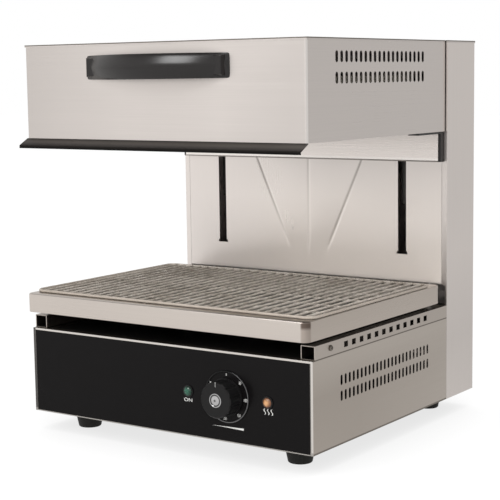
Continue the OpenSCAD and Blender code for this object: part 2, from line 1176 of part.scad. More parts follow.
// section of the reflector, drawn in depth and height
module pan_section(t)
{
  f = pan_f;
  b = pan_b;
  s = pan_slope;
  difference()
  {
    polygon([[f, pan_z], [f + s, pan_top], [b - s, pan_top], [b, pan_z]]);
    polygon([[f + t, pan_z - 1], [f + t, pan_z], [f + s + t, pan_top - pan_t],
      [b - s - t, pan_top - pan_t], [b - t, pan_z], [b - t, pan_z - 1]]);
  }
}

// bright pan over the heating elements, with end walls and a rim on the hood's flanges
module reflector()
{
  y0 = hood_front + sheet;
  y1 = plate_y - sheet;
  color([0.86, 0.86, 0.86])
  {
    side_sheet(-pan_half, 2 * pan_half)
      pan_section(pan_t);
    difference()
    {
      both_sides()
        side_sheet(pan_half, pan_t)
          polygon([[pan_f, pan_z], [pan_f + pan_slope, pan_top], [pan_b - pan_slope, pan_top],
            [pan_b, pan_z]]);
      for (i = [0 : 2], s = [-1, 1])
        translate([-pan_half - 5, tube_y + i * tube_gap + s * tube_bend, tube_z])
          rotate([0, 90, 0])
            cylinder(r = tube_r, h = 10, $fn = 32);
    }
    difference()
    {
      translate([-hood_in, y0, pan_z])
        cube([2 * hood_in, y1 - y0, pan_t]);
      translate([-pan_half, pan_f + 0.5, pan_z - 1])
        cube([2 * pan_half, pan_b - pan_f - 1, pan_t + 2]);
      both_sides()
        translate([hood_in - bend_r, y0 - 1, pan_z - 1])
          cube([bend_r + 1, bend_r + 1, pan_t + 2]);
    }
  }
}

// heat blanket on top of the reflector
module insulation()
{
  color([0.82, 0.80, 0.72])
    translate([-pan_half, pan_f + pan_slope, pan_top])
      cube([2 * pan_half, pan_b - pan_f - 2 * pan_slope, 26]);
}

// hairpin heating element with its collars and terminal pins
module element(i)
{
  y = tube_y + i * tube_gap;
  x0 = -pan_half - 16;
  x1 = pan_half - 52;
  color([0.35, 0.33, 0.32])
    translate([0, y, tube_z])
    {
      for (s = [-1, 1])
        translate([0, s * tube_bend, 0])
        {
          translate([x0, 0, 0])
            rotate([0, 90, 0])
              cylinder(r = tube_r, h = x1 - x0, $fn = 32);
          translate([-pan_half - pan_t - 5, 0, 0])
            rotate([0, 90, 0])
              hex(13, 5);
          translate([x0 - 9, 0, 0])
            rotate([0, 90, 0])
              cylinder(r = 1.8, h = 9.5, $fn = 20);
        }
      translate([x1, 0, 0])
        rotate([0, 0, -90])
          rotate_extrude(angle = 180)
            translate([tube_bend, 0])
              circle(r = tube_r, $fn = 32);
    }
}

module element_front()
{
  element(0);
}

module element_middle()
{
  element(1);
}

module element_back()
{
  element(2);
}

// comb plates that hang from the reflector and hold the elements
module element_supports()
{
  y0 = pan_f + pan_slope + 4;
  y1 = pan_b - pan_slope - 4;
  color([0.7, 0.7, 0.7])
    for (x = [-80, 90])
      side_sheet(x, 1.5)
        difference()
        {
          translate([y0, tube_z - 8])
            square([y1 - y0, pan_top - pan_t - tube_z + 8]);
          for (i = [0 : 2], s = [-1, 1])
            translate([tube_y + i * tube_gap + s * tube_bend, tube_z])
              circle(r = tube_r, $fn = 32);
          for (i = [0 : 2])
            translate([tube_y + i * tube_gap - 15, tube_z - 9])
              square([30, 22]);
        }
}

// bowed strap handle with a rounded grip and two mounting feet
module handle()
{
  cy = hood_front - handle_out + handle_r;
  a = asin(handle_half / handle_r) + 4;
  z0 = handle_z - handle_h / 2 + 3;
  zh = handle_h / 2 + 12.5;
  color(black)
    difference()
    {
      union()
      {
        translate([0, cy, handle_z - handle_h / 2])
          rotate([0, 0, -90 - a])
            rotate_extrude(angle = 2 * a, $fn = 128)
              translate([handle_r - handle_t, 0])
              {
                translate([0, 0])
                  square([handle_t - 3, handle_h]);
                translate([handle_t - 3.01, 3])
                  square([3.01, handle_h - 6]);
                translate([handle_t - 3, 3])
                  circle(r = 3, $fn = 32);
                translate([handle_t - 3, handle_h - 3])
                  circle(r = 3, $fn = 32);
              }
        both_sides()
          translate([handle_half - 22, hood_front - 10.5, z0])
            cube([17, 10.5, zh]);
      }
      translate([-200, hood_front, handle_z - 60])
        cube([400, 120, 120]);
      both_sides()
        translate([handle_half - 14, hood_front + 1, handle_z])
          rotate([90, 0, 0])
            cylinder(r = 2, h = 9, $fn = 24);
    }
}

// screws that hold the handle from inside the hood
module handle_screws()
{
  color([0.6, 0.6, 0.6])
    both_sides()
      translate([handle_half - 14, hood_front + sheet, handle_z])
        rotate([-90, 0, 0])
          cylinder(r = 4, h = 2.4, $fn = 32);
}

// ---------- tray and grid ----------

// block with round upright corners, even about the middle
module round_block(x, y0, y1, r, z0, z1)
{
  translate([0, 0, z0])
    linear_extrude(height = z1 - z0)
    {
      translate([-x, y0 + r])
        square([2 * x, y1 - y0 - 2 * r]);
      translate([-x + r, y0])
        square([2 * x - 2 * r, y1 - y0]);
      for (cx = [-x + r, x - r], cy = [y0 + r, y1 - r])
        translate([cx, cy])
          circle(r = r, $fn = 64);
    }
}

// drip tray: a deep pan with a flat rim for the grid and a skirt that hangs over the rails
module drip_tray()
{
  t = tray_t;
  y0 = tray_y;
  y1 = tray_y + tray_d;
  p0 = y0 + ledge_front;
  p1 = y1 - ledge_back;
  px = half_w - rim_w;
  color([0.80, 0.79, 0.78])
    translate([0, 0, tray_z])
      difference()
      {
        union()
        {
          difference()
          {
            round_block(half_w, y0, y1, tray_r, tray_h - skirt_h, tray_h);
            round_block(half_w - t, y0 + t, y1 - t, tray_r - t, tray_h - skirt_h - 1, tray_h - t);
          }
          translate([-px, p0, 0])
            cube([2 * px, p1 - p0, tray_h - t / 2]);
        }
        translate([-px + t, p0 + t, t])
          cube([2 * px - 2 * t, p1 - p0 - 2 * t, tray_h]);
      }
}

// round wire from one point to another along one axis
module wire_x(x0, x1, y, z, d)
{
  translate([x0, y, z])
    rotate([0, 90, 0])
      cylinder(d = d, h = x1 - x0, $fn = 10);
}

module wire_y(x, y0, y1, z, d)
{
  translate([x, y1, z])
    rotate([90, 0, 0])
      cylinder(d = d, h = y1 - y0, $fn = 10);
}

// wire grid: a round frame, long wires from front to back and cross wires below them
module wire_grid()
{
  n = floor((grid_x - 10) / wire_pitch);
  rest = frame_d * cos(18) / 2;
  zc = grid_z - frame_d / 2 + rest;
  zw = zc + 0.2;
  zx = zw - wire_d / 2 - cross_d / 2 + 0.6;
  xx = half_w - rim_w - tray_t - 0.8;
  color([0.55, 0.50, 0.45])
  {
    for (y = [grid_y0, grid_y1])
      wire_x(-grid_x + grid_r, grid_x - grid_r, y, zc, frame_d);
    for (x = [-grid_x, grid_x])
      wire_y(x, grid_y0 + grid_r, grid_y1 - grid_r, zc, frame_d);
    for (k = [0 : 3])
    {
      sx = (k == 0 || k == 3) ? 1 : -1;
      sy = (k < 2) ? 1 : 0;
      cy = sy == 1 ? grid_y1 - grid_r : grid_y0 + grid_r;
      translate([sx * (grid_x - grid_r), cy, zc])
        rotate([0, 0, k * 90])
          rotate_extrude(angle = 90, $fn = 48)
            translate([grid_r, 0])
              rotate([0, 0, 0])
                circle(d = frame_d, $fn = 10);
    }
    for (i = [-n : n])
      wire_y(i * wire_pitch, grid_y0, grid_y1, zw, wire_d);
    for (i = [1 : 5])
      wire_x(-xx, xx, grid_y0 + i * (grid_y1 - grid_y0) / 6, zx, cross_d);
  }
}

// ---------- drawing ----------

base_shell();
deck_plate();
base_floor();
control_panel();
dial_plate();
dial_ring();
knob_body();
knob_cap();
knob_spindle();
thermostat();
green_lens();
green_holder();
amber_lens();
amber_holder();
foot_front_left();
foot_front_right();
foot_back_left();
foot_back_right();
foot_nuts();
rail_left();
rail_right();
rail_screws();
terminal_block();
column_shell();
column_front();
column_cap();
back_screws();
cable_gland();
guide_rods();
top_bar();
low_bar();
spring_shelf();
gas_springs();
gas_rods();
slider_blocks();
slider_bushes();
tie_plate();
hood_arms();
carriage_frame();
hood_back_plate();
hood_brackets();
hood_shell();
hood_top();
front_lip();
reflector();
insulation();
element_front();
element_middle();
element_back();
element_supports();
handle();
handle_screws();
drip_tray();
wire_grid();
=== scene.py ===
# %% [markdown]
# # A lift-type grill, dressed for its portrait
#
# A steel hood slides up and down a steel column, over a wire grid and a drip tray. The
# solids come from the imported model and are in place. This lesson gives them finishes, adds
# the small things that make them look made, and sets up a plain studio.

from math import acos, cos, hypot, pi, radians, sin, sqrt

import bmesh
import bpy
from mathutils import Matrix, Vector


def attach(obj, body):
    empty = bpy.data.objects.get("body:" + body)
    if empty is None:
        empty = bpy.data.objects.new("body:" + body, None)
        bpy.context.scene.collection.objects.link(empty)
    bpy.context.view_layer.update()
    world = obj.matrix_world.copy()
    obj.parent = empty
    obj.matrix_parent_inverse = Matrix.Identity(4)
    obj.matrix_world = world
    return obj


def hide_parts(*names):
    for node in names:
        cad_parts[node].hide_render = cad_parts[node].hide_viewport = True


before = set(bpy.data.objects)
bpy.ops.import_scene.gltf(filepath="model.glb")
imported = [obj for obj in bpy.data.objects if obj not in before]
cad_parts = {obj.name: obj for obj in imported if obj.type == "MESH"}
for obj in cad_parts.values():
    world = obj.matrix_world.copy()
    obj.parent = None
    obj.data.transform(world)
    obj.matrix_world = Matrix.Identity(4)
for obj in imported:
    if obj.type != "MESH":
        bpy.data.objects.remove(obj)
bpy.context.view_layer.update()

# %% [markdown]
# The frame is in metres. Shapes are written in millimetres below and scaled by MM, and
# finishes are written in metres. The places that several cells need are named first.

# %% Shared places
MM = 0.001
HOOD_FRONT = -207.5
PANEL_FRONT = -205.5
DIAL_X, DIAL_Z = 100.0, 84.0
LAMP_OFFSET = 60.5


def into_scene(name, data):
    """A new object in the scene."""
    made = bpy.data.objects.new(name, data)
    bpy.context.scene.collection.objects.link(made)
    return made


print("the dial is at", DIAL_X, DIAL_Z, "millimetres")

# %% [markdown]
# ## The camera
#
# A camera is a matrix: three columns say which way it faces, and the fourth says where it
# stands. The heading, the tilt and the roll are what one turns on a tripod, and the matrix
# is worked out from them. A long lens keeps the edges of the machine nearly parallel.

# %% Camera
HEADING = radians(34.816)
TILT = radians(7.159)
ROLL = radians(-0.796)
CAMERA_PLACE = Vector((1.0899, -1.5755, 0.4789))
LENS_MM = 100.31

flat = cos(TILT)
look = Vector((-sin(HEADING) * flat, cos(HEADING) * flat, -sin(TILT)))
level = Vector((cos(HEADING), sin(HEADING), 0.0))
above = level.cross(look)
side = cos(ROLL) * level + sin(ROLL) * above
upward = cos(ROLL) * above - sin(ROLL) * level
camera_data = bpy.data.cameras.new("studio_camera")
camera_data.lens = LENS_MM
camera_data.sensor_width = 36.0
camera_data.clip_start = 0.05
camera_data.clip_end = 30.0
camera = into_scene("studio_camera", camera_data)
turn = Matrix((side, upward, -look)).transposed()
camera.matrix_world = Matrix.Translation(CAMERA_PLACE) @ turn.to_4x4()
bpy.context.scene.camera = camera
print("camera at", [round(v, 3) for v in CAMERA_PLACE])

# %% [markdown]
# ## Trees of nodes
#
# The world, the floor, the finishes and the repeated shapes are all trees of nodes. One
# small class builds them: it links an output to a socket, or sets a constant on it.

# %% Trees of nodes
class Graph:
    """A node tree under construction."""

    def __init__(self, tree):
        self.tree = tree

    def feed(self, socket, value):
        if isinstance(value, bpy.types.NodeSocket):
            self.tree.links.new(value, socket)
        else:
            socket.default_value = (*value, 1.0) if socket.type == "RGBA" else value

    def node(self, kind, sockets=(), output=0, **settings):
        """Adds a node, a shader node for short, fills its sockets, hands back an output."""
        made = self.tree.nodes.new(kind if "Node" in kind else "ShaderNode" + kind)
        for key, value in settings.items():
            setattr(made, key, value)
        for key, value in sockets.items() if isinstance(sockets, dict) else enumerate(sockets):
            self.feed(made.inputs[key], value)
        return made.outputs[output] if made.outputs else None

    def maths(self, operation, first, second=0.0):
        return self.node("Math", (first, second), operation=operation)

    def vectors(self, operation, first, second, output=0):
        return self.node("VectorMath", (first, second), output, operation=operation)

    def times(self, *values):
        product = values[0]
        for value in values[1:]:
            product = self.maths("MULTIPLY", product, value)
        return product

    def spread(self, value, low, high, start=0.3, stop=0.7, way="LINEAR"):
        """Maps the stretch from start to stop onto low to high, and holds the ends."""
        sockets = (value, start, stop, low, high)
        return self.node("MapRange", sockets, interpolation_type=way)

    def mixed(self, share, first, second):
        """A mix of two shaders."""
        return self.node("MixShader", (share, first, second))

    def ray_is(self, first, *others):
        """1 for rays of the named kinds."""
        total = self.node("LightPath", output=first)
        for kind in others:
            total = self.maths("MAXIMUM", total, self.node("LightPath", output=kind))
        return total


print("trees are built by", Graph.__name__)

# %% [markdown]
# ## The studio
#
# Steel shows what stands around it, so the room matters more than the lamps. A gradient
# on the direction of the ray makes it bright at the front left and dim at the back right:
# one flank then reads lighter, and the corners show. The dark ceiling draws a thin line
# along every upper bend. The camera and clear plastics see plain white.

# %% World
BRIGHT_SIDE = Vector((-0.62, -0.78, 0.08)).normalized()
ROOM_BRIGHT = 0.99
ROOM_DIM = 0.67
CEILING = 0.38
SOFT_TINT = (1.0, 0.982, 0.962)
WHITE = (1.0, 1.0, 1.0)


def room_tone(graph, direction, reach):
    """Dim to bright, as a direction turns toward the bright side."""
    toward = graph.vectors("DOT_PRODUCT", direction, BRIGHT_SIDE, "Value")
    return graph.spread(toward, ROOM_DIM, ROOM_BRIGHT, -reach, reach, "SMOOTHSTEP")


world = bpy.data.worlds.new("studio_world")
bpy.context.scene.world = world
world.use_nodes = True
world.node_tree.nodes.clear()
sky = Graph(world.node_tree)
direction = sky.node("TexCoord", output="Generated")
height = sky.node("SeparateXYZ", (direction,), "Z")
ceiling = sky.spread(height, 1.0, CEILING, 0.35, 0.80, "SMOOTHSTEP")
strength = sky.times(room_tone(sky, direction, 0.75), ceiling)
soft_light = sky.node("Background", (SOFT_TINT, strength))
white_wall = sky.node("Background", (WHITE, 1.0))
room = sky.mixed(sky.ray_is("Is Camera Ray", "Is Transmission Ray"), soft_light, white_wall)
sky.node("OutputWorld", (room,))
print("the room goes from", ROOM_DIM, "to", ROOM_BRIGHT)

# %% [markdown]
# Three soft boxes do the rest. The first hangs high in front and draws the highlight on
# the grip. The second stands beside the camera and reaches in under the hood, where it
# lights the grid. The third hangs overhead. The last two are hidden from reflections: the
# steel then keeps one even tone from every side and never burns out.

# %% Lamps
def soft_lamp(name, place, target, size, power, mirrored):
    """A rectangular lamp of some watts, aimed at a target."""
    data = bpy.data.lights.new(name, "AREA")
    data.shape = "RECTANGLE"
    data.size, data.size_y = size
    data.energy = power
    lamp = into_scene(name, data)
    lamp.location = place
    lamp.rotation_euler = (Vector(target) - Vector(place)).to_track_quat("-Z", "Y").to_euler()
    lamp.visible_glossy = mirrored


soft_lamp("key_lamp", (-0.25, -2.1, 1.85), (0.0, -0.2, 0.45), (1.0, 0.9), 30.0, True)
soft_lamp("fill_lamp", (1.35, -2.0, 1.15), (0.0, 0.0, 0.20), (0.9, 0.8), 30.0, False)
soft_lamp("top_lamp", (0.1, 0.1, 2.6), (0.0, -0.1, 0.2), (1.6, 1.6), 26.0, False)

# %% [markdown]
# To the camera the floor is nearly all glow, which keeps it white. The small matte part
# keeps the shadow of the machine, and ambient occlusion dims the glow close to the feet,
# a painted contact shadow.
# In the steel the floor has the same slope from bright to dim as the room.

# %% Floor
FLOOR_SIZE = 24.0
FLOOR_GLOW = 0.92
FLOOR_PALE = (0.86, 0.86, 0.86)
FEET_REACH = 0.22

half = FLOOR_SIZE / 2
floor_corners = [(-half, -half, 0), (half, -half, 0), (half, half, 0), (-half, half, 0)]
floor_mesh = bpy.data.meshes.new("studio_floor")
floor_mesh.from_pydata(floor_corners, [], [(0, 1, 2, 3)])
floor = into_scene("studio_floor", floor_mesh)
floor_paint = bpy.data.materials.new("floor_paint")
floor_paint.use_nodes = True
floor_paint.node_tree.nodes.clear()
ground = Graph(floor_paint.node_tree)
matte = ground.node("BsdfDiffuse", (FLOOR_PALE,))
# Painted contact shadow: ambient occlusion dims the floor's glow near the machine.
openness = ground.node("AmbientOcclusion", {"Distance": FEET_REACH}, "AO", samples=12)
glow_with_painted_shadow = ground.spread(openness, 0.84, 1.06, 0.10, 0.90, "SMOOTHSTEP")
white_glow = ground.node("Emission", {"Strength": glow_with_painted_shadow})
slope = room_tone(ground, ground.node("TexCoord", output="Object"), 1.6)
slope_glow = ground.node("Emission", (SOFT_TINT, slope))
to_camera = ground.mixed(FLOOR_GLOW, matte, white_glow)
to_steel = ground.mixed(FLOOR_GLOW, matte, slope_glow)
seen = ground.mixed(ground.ray_is("Is Camera Ray", "Is Transmission Ray"), matte, to_camera)
whole = ground.mixed(ground.ray_is("Is Glossy Ray"), seen, to_steel)
ground.node("OutputMaterial", (whole,))
floor_mesh.materials.append(floor_paint)
print("floor of", FLOOR_SIZE, "metres")

# %% [markdown]
# ## Finishes
#
# Every finish begins the same way: a clean material, object coordinates and a noise that
# is stretched to the grain of the work. Masks along an axis say where a tone goes, and
# paint blends it over what is there. Each material goes onto a shelf under its name.

# %% Helpers for finishes
MIX_SHARE, MIX_A, MIX_B, MIX_RESULT = 0, 6, 7, 2  # a Mix node's sockets for colours
shelf = {}


def shade(colour, factor):
    return tuple(min(1.0, c * factor) for c in colour)


class Finish(Graph):
    """A material under construction, around its principled shader."""

    def __init__(self, name, colour, metallic, roughness, **constants):
        shelf[name] = bpy.data.materials.new(name)
        shelf[name].use_nodes = True
        super().__init__(shelf[name].node_tree)
        self.shader = self.tree.nodes["Principled BSDF"]
        self.set("Base Color", colour)
        self.set("Metallic", metallic)
        self.set("Roughness", roughness)
        for socket, value in constants.items():
            self.set(socket.replace("_", " "), value)
        self.place = self.node("TexCoord", output="Object")

    def set(self, socket, value):
        self.feed(self.shader.inputs[socket], value)

    def noise(self, stretch, detail=2.0, rough=0.5, shift=(0.0, 0.0, 0.0)):
        sockets = {"Vector": self.place, "Location": shift, "Scale": stretch}
        mapped = self.node("Mapping", sockets)
        sockets = {"Vector": mapped, "Scale": 1.0, "Detail": detail, "Roughness": rough}
        return self.node("TexNoise", sockets)

    def axis(self, name):
        return self.node("SeparateXYZ", (self.place,), name)

    def spread(self, value, *reach):
        """As in any tree, but a letter stands for that axis, in metres."""
        return super().spread(self.axis(value) if isinstance(value, str) else value, *reach)

    def over(self, value, start, stop):
        """0 up to start, 1 from stop on."""
        return self.spread(value, 0.0, 1.0, start, stop)

    def under(self, value, start, stop):
        """1 up to start, 0 from stop on."""
        return self.spread(value, 1.0, 0.0, start, stop)

    def band(self, value, low, high, soft=0.0003):
        """1 between low and high, with soft borders."""
        rise = self.over(value, low - soft, low + soft)
        return self.times(rise, self.under(value, high - soft, high + soft))

    def from_middle(self):
        """Distance from the middle plane of the machine, in metres."""
        return self.maths("ABSOLUTE", self.axis("X"))

    def from_axis(self, x, z):
        """Distance in metres from a line that runs front to back through x and z."""
        off_x = self.maths("SUBTRACT", self.axis("X"), x * MM)
        off_z = self.maths("SUBTRACT", self.axis("Z"), z * MM)
        squares = self.maths("ADD", self.times(off_x, off_x), self.times(off_z, off_z))
        return self.maths("POWER", squares, 0.5)

    def blend(self, share, first, second):
        """A mix of two colours."""
        sockets = {MIX_SHARE: share, MIX_A: first, MIX_B: second}
        return self.node("Mix", sockets, MIX_RESULT, data_type="RGBA")

    def varied(self, value, colour, dark, light):
        """A colour that a noise moves between two shades of it."""
        return self.blend(self.spread(value, 0.0, 1.0), shade(colour, dark), shade(colour, light))

    def paint(self, mask, colour, strength=1.0):
        """Blends a colour over what the finish already has, where the mask is 1."""
        below = self.shader.inputs["Base Color"].links[0].from_socket
        self.set("Base Color", self.blend(self.times(mask, strength), below, colour))

    def rounded(self, radius):
        """The normal that edges would have with this radius."""
        return self.node("Bevel", {"Radius": radius}, samples=4)

    def bump(self, height, strength, distance, soft_edge=0.0):
        sockets = {"Height": height, "Strength": strength, "Distance": distance}
        if soft_edge:
            sockets["Normal"] = self.rounded(soft_edge)
        self.set("Normal", self.node("Bump", sockets))

    def edge_mask(self, radius):
        flat_normal = self.node("NewGeometry", output="Normal")
        alike = self.vectors("DOT_PRODUCT", self.rounded(radius), flat_normal, "Value")
        return self.under(alike, 0.85, 0.995)

    # Painted shade: ambient occlusion marks the seams where shade falls.
    def seam_shade(self, reach):
        openness = self.node("AmbientOcclusion", {"Distance": reach}, "AO", samples=5)
        return self.under(openness, 0.12, 0.62)


print("finishes are built by", Finish.__name__)

# %% [markdown]
# ### Brushed stainless steel
#
# A belt leaves fine parallel scratches in sheet steel. A noise that is stretched a
# hundredfold along one axis gives the scratches and moves the roughness and the bump, so
# that light streaks with the grain. A broad slow noise adds the clouds of wiped metal.
# Painted shade darkens the seams where sheets meet: ambient occlusion with a short reach
# finds them.

# %% Brushed steel
ACROSS = (7.0, 7.0, 1100.0)
UPRIGHT = (1100.0, 1100.0, 7.0)
LENGTHWISE = (900.0, 9.0, 900.0)
STEEL = (0.665, 0.624, 0.600)
# A dark tone for painted shade in seams and along edges.
PAINTED_SHADE = (0.10, 0.085, 0.07)


def brushed_steel(name, colour, roughness, grain=ACROSS, scratch=0.05, cloud=0.03,
                  seam=0.007, soft_edge=0.0005, cut=1.0):
    """Steel ground along a grain; cut says how deep, and seam how far painted shade in seams
    reaches.
    """
    f = Finish(name, colour, 1.0, roughness)
    lines = f.noise(grain, 3.0, 0.6)
    clouds = f.noise((5.0, 5.0, 5.0), 3.0, 0.55, (3.1, 1.7, 0.4))
    scratched = f.varied(lines, colour, 1.0 - scratch, 1.0 + scratch)
    wiped = f.varied(clouds, colour, 1.0 - cloud, 1.0 + cloud)
    metal = f.blend(0.5, scratched, wiped)
    # Painted shade in the seams.
    if seam:
        metal = f.blend(f.times(f.seam_shade(seam), 0.85), metal, PAINTED_SHADE)
    f.set("Base Color", metal)
    fine = f.spread(lines, -0.05 * cut, 0.05 * cut)
    broad = f.spread(clouds, roughness - 0.03, roughness + 0.03)
    f.set("Roughness", f.maths("ADD", fine, broad))
    f.bump(lines, 0.06 * cut, 0.0001, soft_edge)
    return f


def hood_steel():
    """A painted highlight along the bend at the right corner, and painted shade toward both ends
    of the front.
    """
    f = brushed_steel("hood_steel", shade(STEEL, 1.04), 0.33, seam=0.003)
    # The bend gets a painted highlight.
    bend = f.times(f.band("X", 0.2193, 0.2225, 0.0006), f.band("Y", -0.2085, -0.2052, 0.0006))
    f.paint(bend, (0.95, 0.93, 0.91), 0.8)
    # Painted shade toward the left and right ends of the front.
    front = f.band("Y", -0.209, -0.2062)
    f.paint(f.times(f.under("X", -0.23, -0.06), front), shade(STEEL, 0.86), 0.75)
    f.paint(f.times(f.over("X", 0.10, 0.20), front), shade(STEEL, 0.90), 0.6)


def lid_steel():
    """A line of painted shade along the top edge of a lid."""
    f = brushed_steel("lid_steel", shade(STEEL, 1.03), 0.33)
    # Painted shade along the top edge.
    f.paint(f.band("Z", 0.5206, 0.52185, 0.0002), PAINTED_SHADE, 0.9)


def column_steel():
    """Painted shade darkens the sides a little toward the floor."""
    f = brushed_steel("column_steel", shade(STEEL, 1.20), 0.36, UPRIGHT)
    # Painted shade toward the floor.
    f.paint(f.under("Z", 0.11, 0.23), STEEL, 0.9)


def base_steel():
    """Painted light to the rear and up, painted shade in seams, a painted highlight round the
    panel.
    """
    f = brushed_steel("base_steel", (0.415, 0.374, 0.335), 0.36, seam=0.003)
    # Painted light: lighter toward the rear and the top.
    f.paint(f.over("Y", -0.10, 0.15), (0.49, 0.447, 0.405), 0.9)
    f.paint(f.over("Z", 0.095, 0.135), (0.53, 0.485, 0.44), 0.8)
    # Painted shade along the seam under the rails and along the bottom edge.
    f.paint(f.band("Z", 0.1403, 0.1415), PAINTED_SHADE, 0.8)
    f.paint(f.band("Z", 0.0255, 0.0282), PAINTED_SHADE, 0.75)
    # A painted highlight on the front edge round the panel, with painted shade at its left end,
    # beside the panel and at its foot.
    edge = f.band("Y", -0.2065, -0.2050, 0.0001)
    f.paint(edge, (0.74, 0.71, 0.68), 0.9)
    shadow = (0.05, 0.048, 0.047)
    f.paint(f.times(edge, f.under("X", -0.2212, -0.2208)), shadow, 0.9)
    beside_panel = f.times(f.band("X", 0.2195, 0.2222), f.under("Z", 0.1383, 0.1388))
    f.paint(f.times(edge, beside_panel), shadow, 0.75)
    f.paint(f.times(edge, f.under("Z", 0.0295, 0.0305)), (0.40, 0.38, 0.36), 0.8)


def rail_steel():
    """The rails are hollow; painted shade darkens their insides and the seam at their foot."""
    f = brushed_steel("rail_steel", (0.49, 0.445, 0.405), 0.36, LENGTHWISE, seam=0.004)
    # Painted shade along the seam with the base, and inside the hollow rail.
    f.paint(f.band("Z", 0.1405, 0.1418), PAINTED_SHADE, 0.9)
    out = f.from_middle()
    between_walls = f.times(f.over(out, 0.2060, 0.2064), f.under(out, 0.2236, 0.2239))
    shaded_inside = f.times(between_walls, f.band("Z", 0.1420, 0.1575, 0.0002))
    f.paint(shaded_inside, (0.05, 0.045, 0.04), 0.95)


def cover_steel():
    """A painted highlight along the lower edge, which ends in a line of painted shade."""
    f = brushed_steel("cover_steel", shade(STEEL, 1.27), 0.28, seam=0.006)
    # Painted highlight, then a line of painted shade below it.
    f.paint(f.band("Z", 0.3588, 0.3620, 0.0006), (0.97, 0.94, 0.91), 0.7)
    f.paint(f.band("Z", 0.3570, 0.3587), PAINTED_SHADE, 0.75)


for make in (hood_steel, lid_steel, column_steel, base_steel, rail_steel, cover_steel):
    make()
brushed_steel("inner_steel", (0.16, 0.155, 0.15), 0.5, ACROSS, 0.08, 0.08, seam=0.0)
print("steels:", list(shelf))

# %% [markdown]
# ### The pressed front of the column
#
# Three pressed creases fan out upwards behind the grid. The piece gets their shallow
# grooves further down. The finish paints shade on one flank of each crease and a highlight
# on the other, and paints the right part of the sheet lighter, most of all low down. Low
# down the steel has seen heat, and a brown tint creeps up.

# %% Column front
CREASES = (  # foot and top of each crease: x, z, x, z in metres
    (0.0, 0.222, 0.0, 0.40),
    (0.034, 0.230, 0.088, 0.352),
    (-0.034, 0.230, -0.088, 0.352),
)
MIDDLE_SHARE = 0.35


def line_side(f, x0, z0, x1, z1):
    """Distance from a line on the front, in metres: positive to its right."""
    length = hypot(x1 - x0, z1 - z0)
    nx, nz = (z1 - z0) / length, -(x1 - x0) / length
    reach = f.maths("ADD", f.times(f.axis("X"), nx), f.times(f.axis("Z"), nz))
    return f.maths("ADD", reach, -(nx * x0 + nz * z0))


def around(f, value, middle, half_width):
    """1 where the value is at the middle, falling to 0 on both sides."""
    return f.under(f.maths("ABSOLUTE", f.maths("SUBTRACT", value, middle)), 0.0, half_width)


def column_front_steel():
    f = brushed_steel("column_front_steel", shade(STEEL, 1.17), 0.30, UPRIGHT, 0.02, 0.02,
                      seam=0.003, soft_edge=0.0, cut=0.08)
    # Painted light: the right part of the sheet is lighter.
    right_part = f.over("X", -0.19, -0.02)
    f.paint(right_part, shade(STEEL, 1.05), 0.8)
    # Each crease gets a line of painted shade on one flank and a painted highlight on the other.
    for x0, z0, x1, z1 in CREASES:
        beside = line_side(f, x0, z0, x1, z1)
        past_foot = f.over("Z", z0 - 0.006, z0 + 0.010)
        shade_share = f.spread("Z", 0.75, 0.85, 0.25, 0.34) if x0 else MIDDLE_SHARE
        highlight_share = f.spread("Z", 1.0, 0.1, 0.25, 0.34) if x0 else MIDDLE_SHARE
        painted_shade_line = f.times(around(f, beside, -0.0008, 0.0026), past_foot, shade_share)
        painted_highlight_line = f.times(around(f, beside, 0.0022, 0.0024), past_foot, highlight_share)
        f.paint(painted_shade_line, (0.24, 0.22, 0.205))
        f.paint(painted_highlight_line, (0.97, 0.94, 0.91), 0.8)
    f.set("Metallic", f.spread("Z", 0.35, 1.0, 0.19, 0.30))
    # Painted light low down on the right part.
    f.paint(f.times(f.under("Z", 0.20, 0.35), right_part), (0.96, 0.89, 0.83))
    patchy = f.times(f.noise((9.0, 9.0, 14.0), 3.0, 0.6), 0.04)
    warm_height = f.maths("SUBTRACT", f.axis("Z"), patchy)
    f.paint(f.spread(warm_height, 0.12, 0.0, 0.170, 0.245), (0.50, 0.43, 0.37))


column_front_steel()
print("the column's front has", len(CREASES), "creases")

# %% [markdown]
# ### The tray
#
# The skirt of the tray stays bright, but its hollow collects fat that bakes on. A mask on
# the height blends the steel into a brown, duller tone below the rim. Painted shade darkens
# everything below the foot of the skirt, the outer sides, and the rounded front corner, most
# of all near the top of the corner.

# %% Tray steel
def tray_steel():
    f = brushed_steel("tray_steel", (0.615, 0.565, 0.525), 0.32, ACROSS, 0.05, 0.04,
                      seam=0.005, soft_edge=0.0)
    out = f.from_middle()
    across_pan = f.times(f.under(out, 0.2105, 0.2125), f.under("Z", 0.178, 0.189))
    along_pan = f.times(f.over("Y", -0.1965, -0.1940), f.under("Y", 0.0945, 0.0970))
    baked = f.times(across_pan, along_pan)
    stains = f.noise((30.0, 30.0, 30.0), 4.0, 0.65, (0.3, 1.9, 0.8))
    f.paint(baked, f.blend(f.over(stains, 0.35, 0.65), (0.52, 0.47, 0.41), (0.68, 0.64, 0.58)))
    f.set("Metallic", f.spread(baked, 1.0, 0.35, 0.0, 1.0))
    # Painted shade below the foot of the skirt.
    f.paint(f.under("Z", 0.1645, 0.1655), (0.03, 0.028, 0.026), 0.9)
    # Painted shade on the outer sides of the skirt.
    f.paint(f.over(out, 0.2238, 0.2246), (0.54, 0.485, 0.435), 0.9)
    # Painted shade in the rounded front corner, darkest near its top.
    corner = f.times(f.band("X", 0.2165, 0.2265, 0.0012), f.band("Y", -0.2190, -0.2085, 0.0012))
    f.paint(corner, (0.40, 0.34, 0.30), 0.8)
    f.paint(f.times(corner, f.band("Z", 0.1815, 0.1895, 0.002)), (0.10, 0.07, 0.055), 0.85)


tray_steel()
print("steels:", [name for name in shelf if "steel" in name])
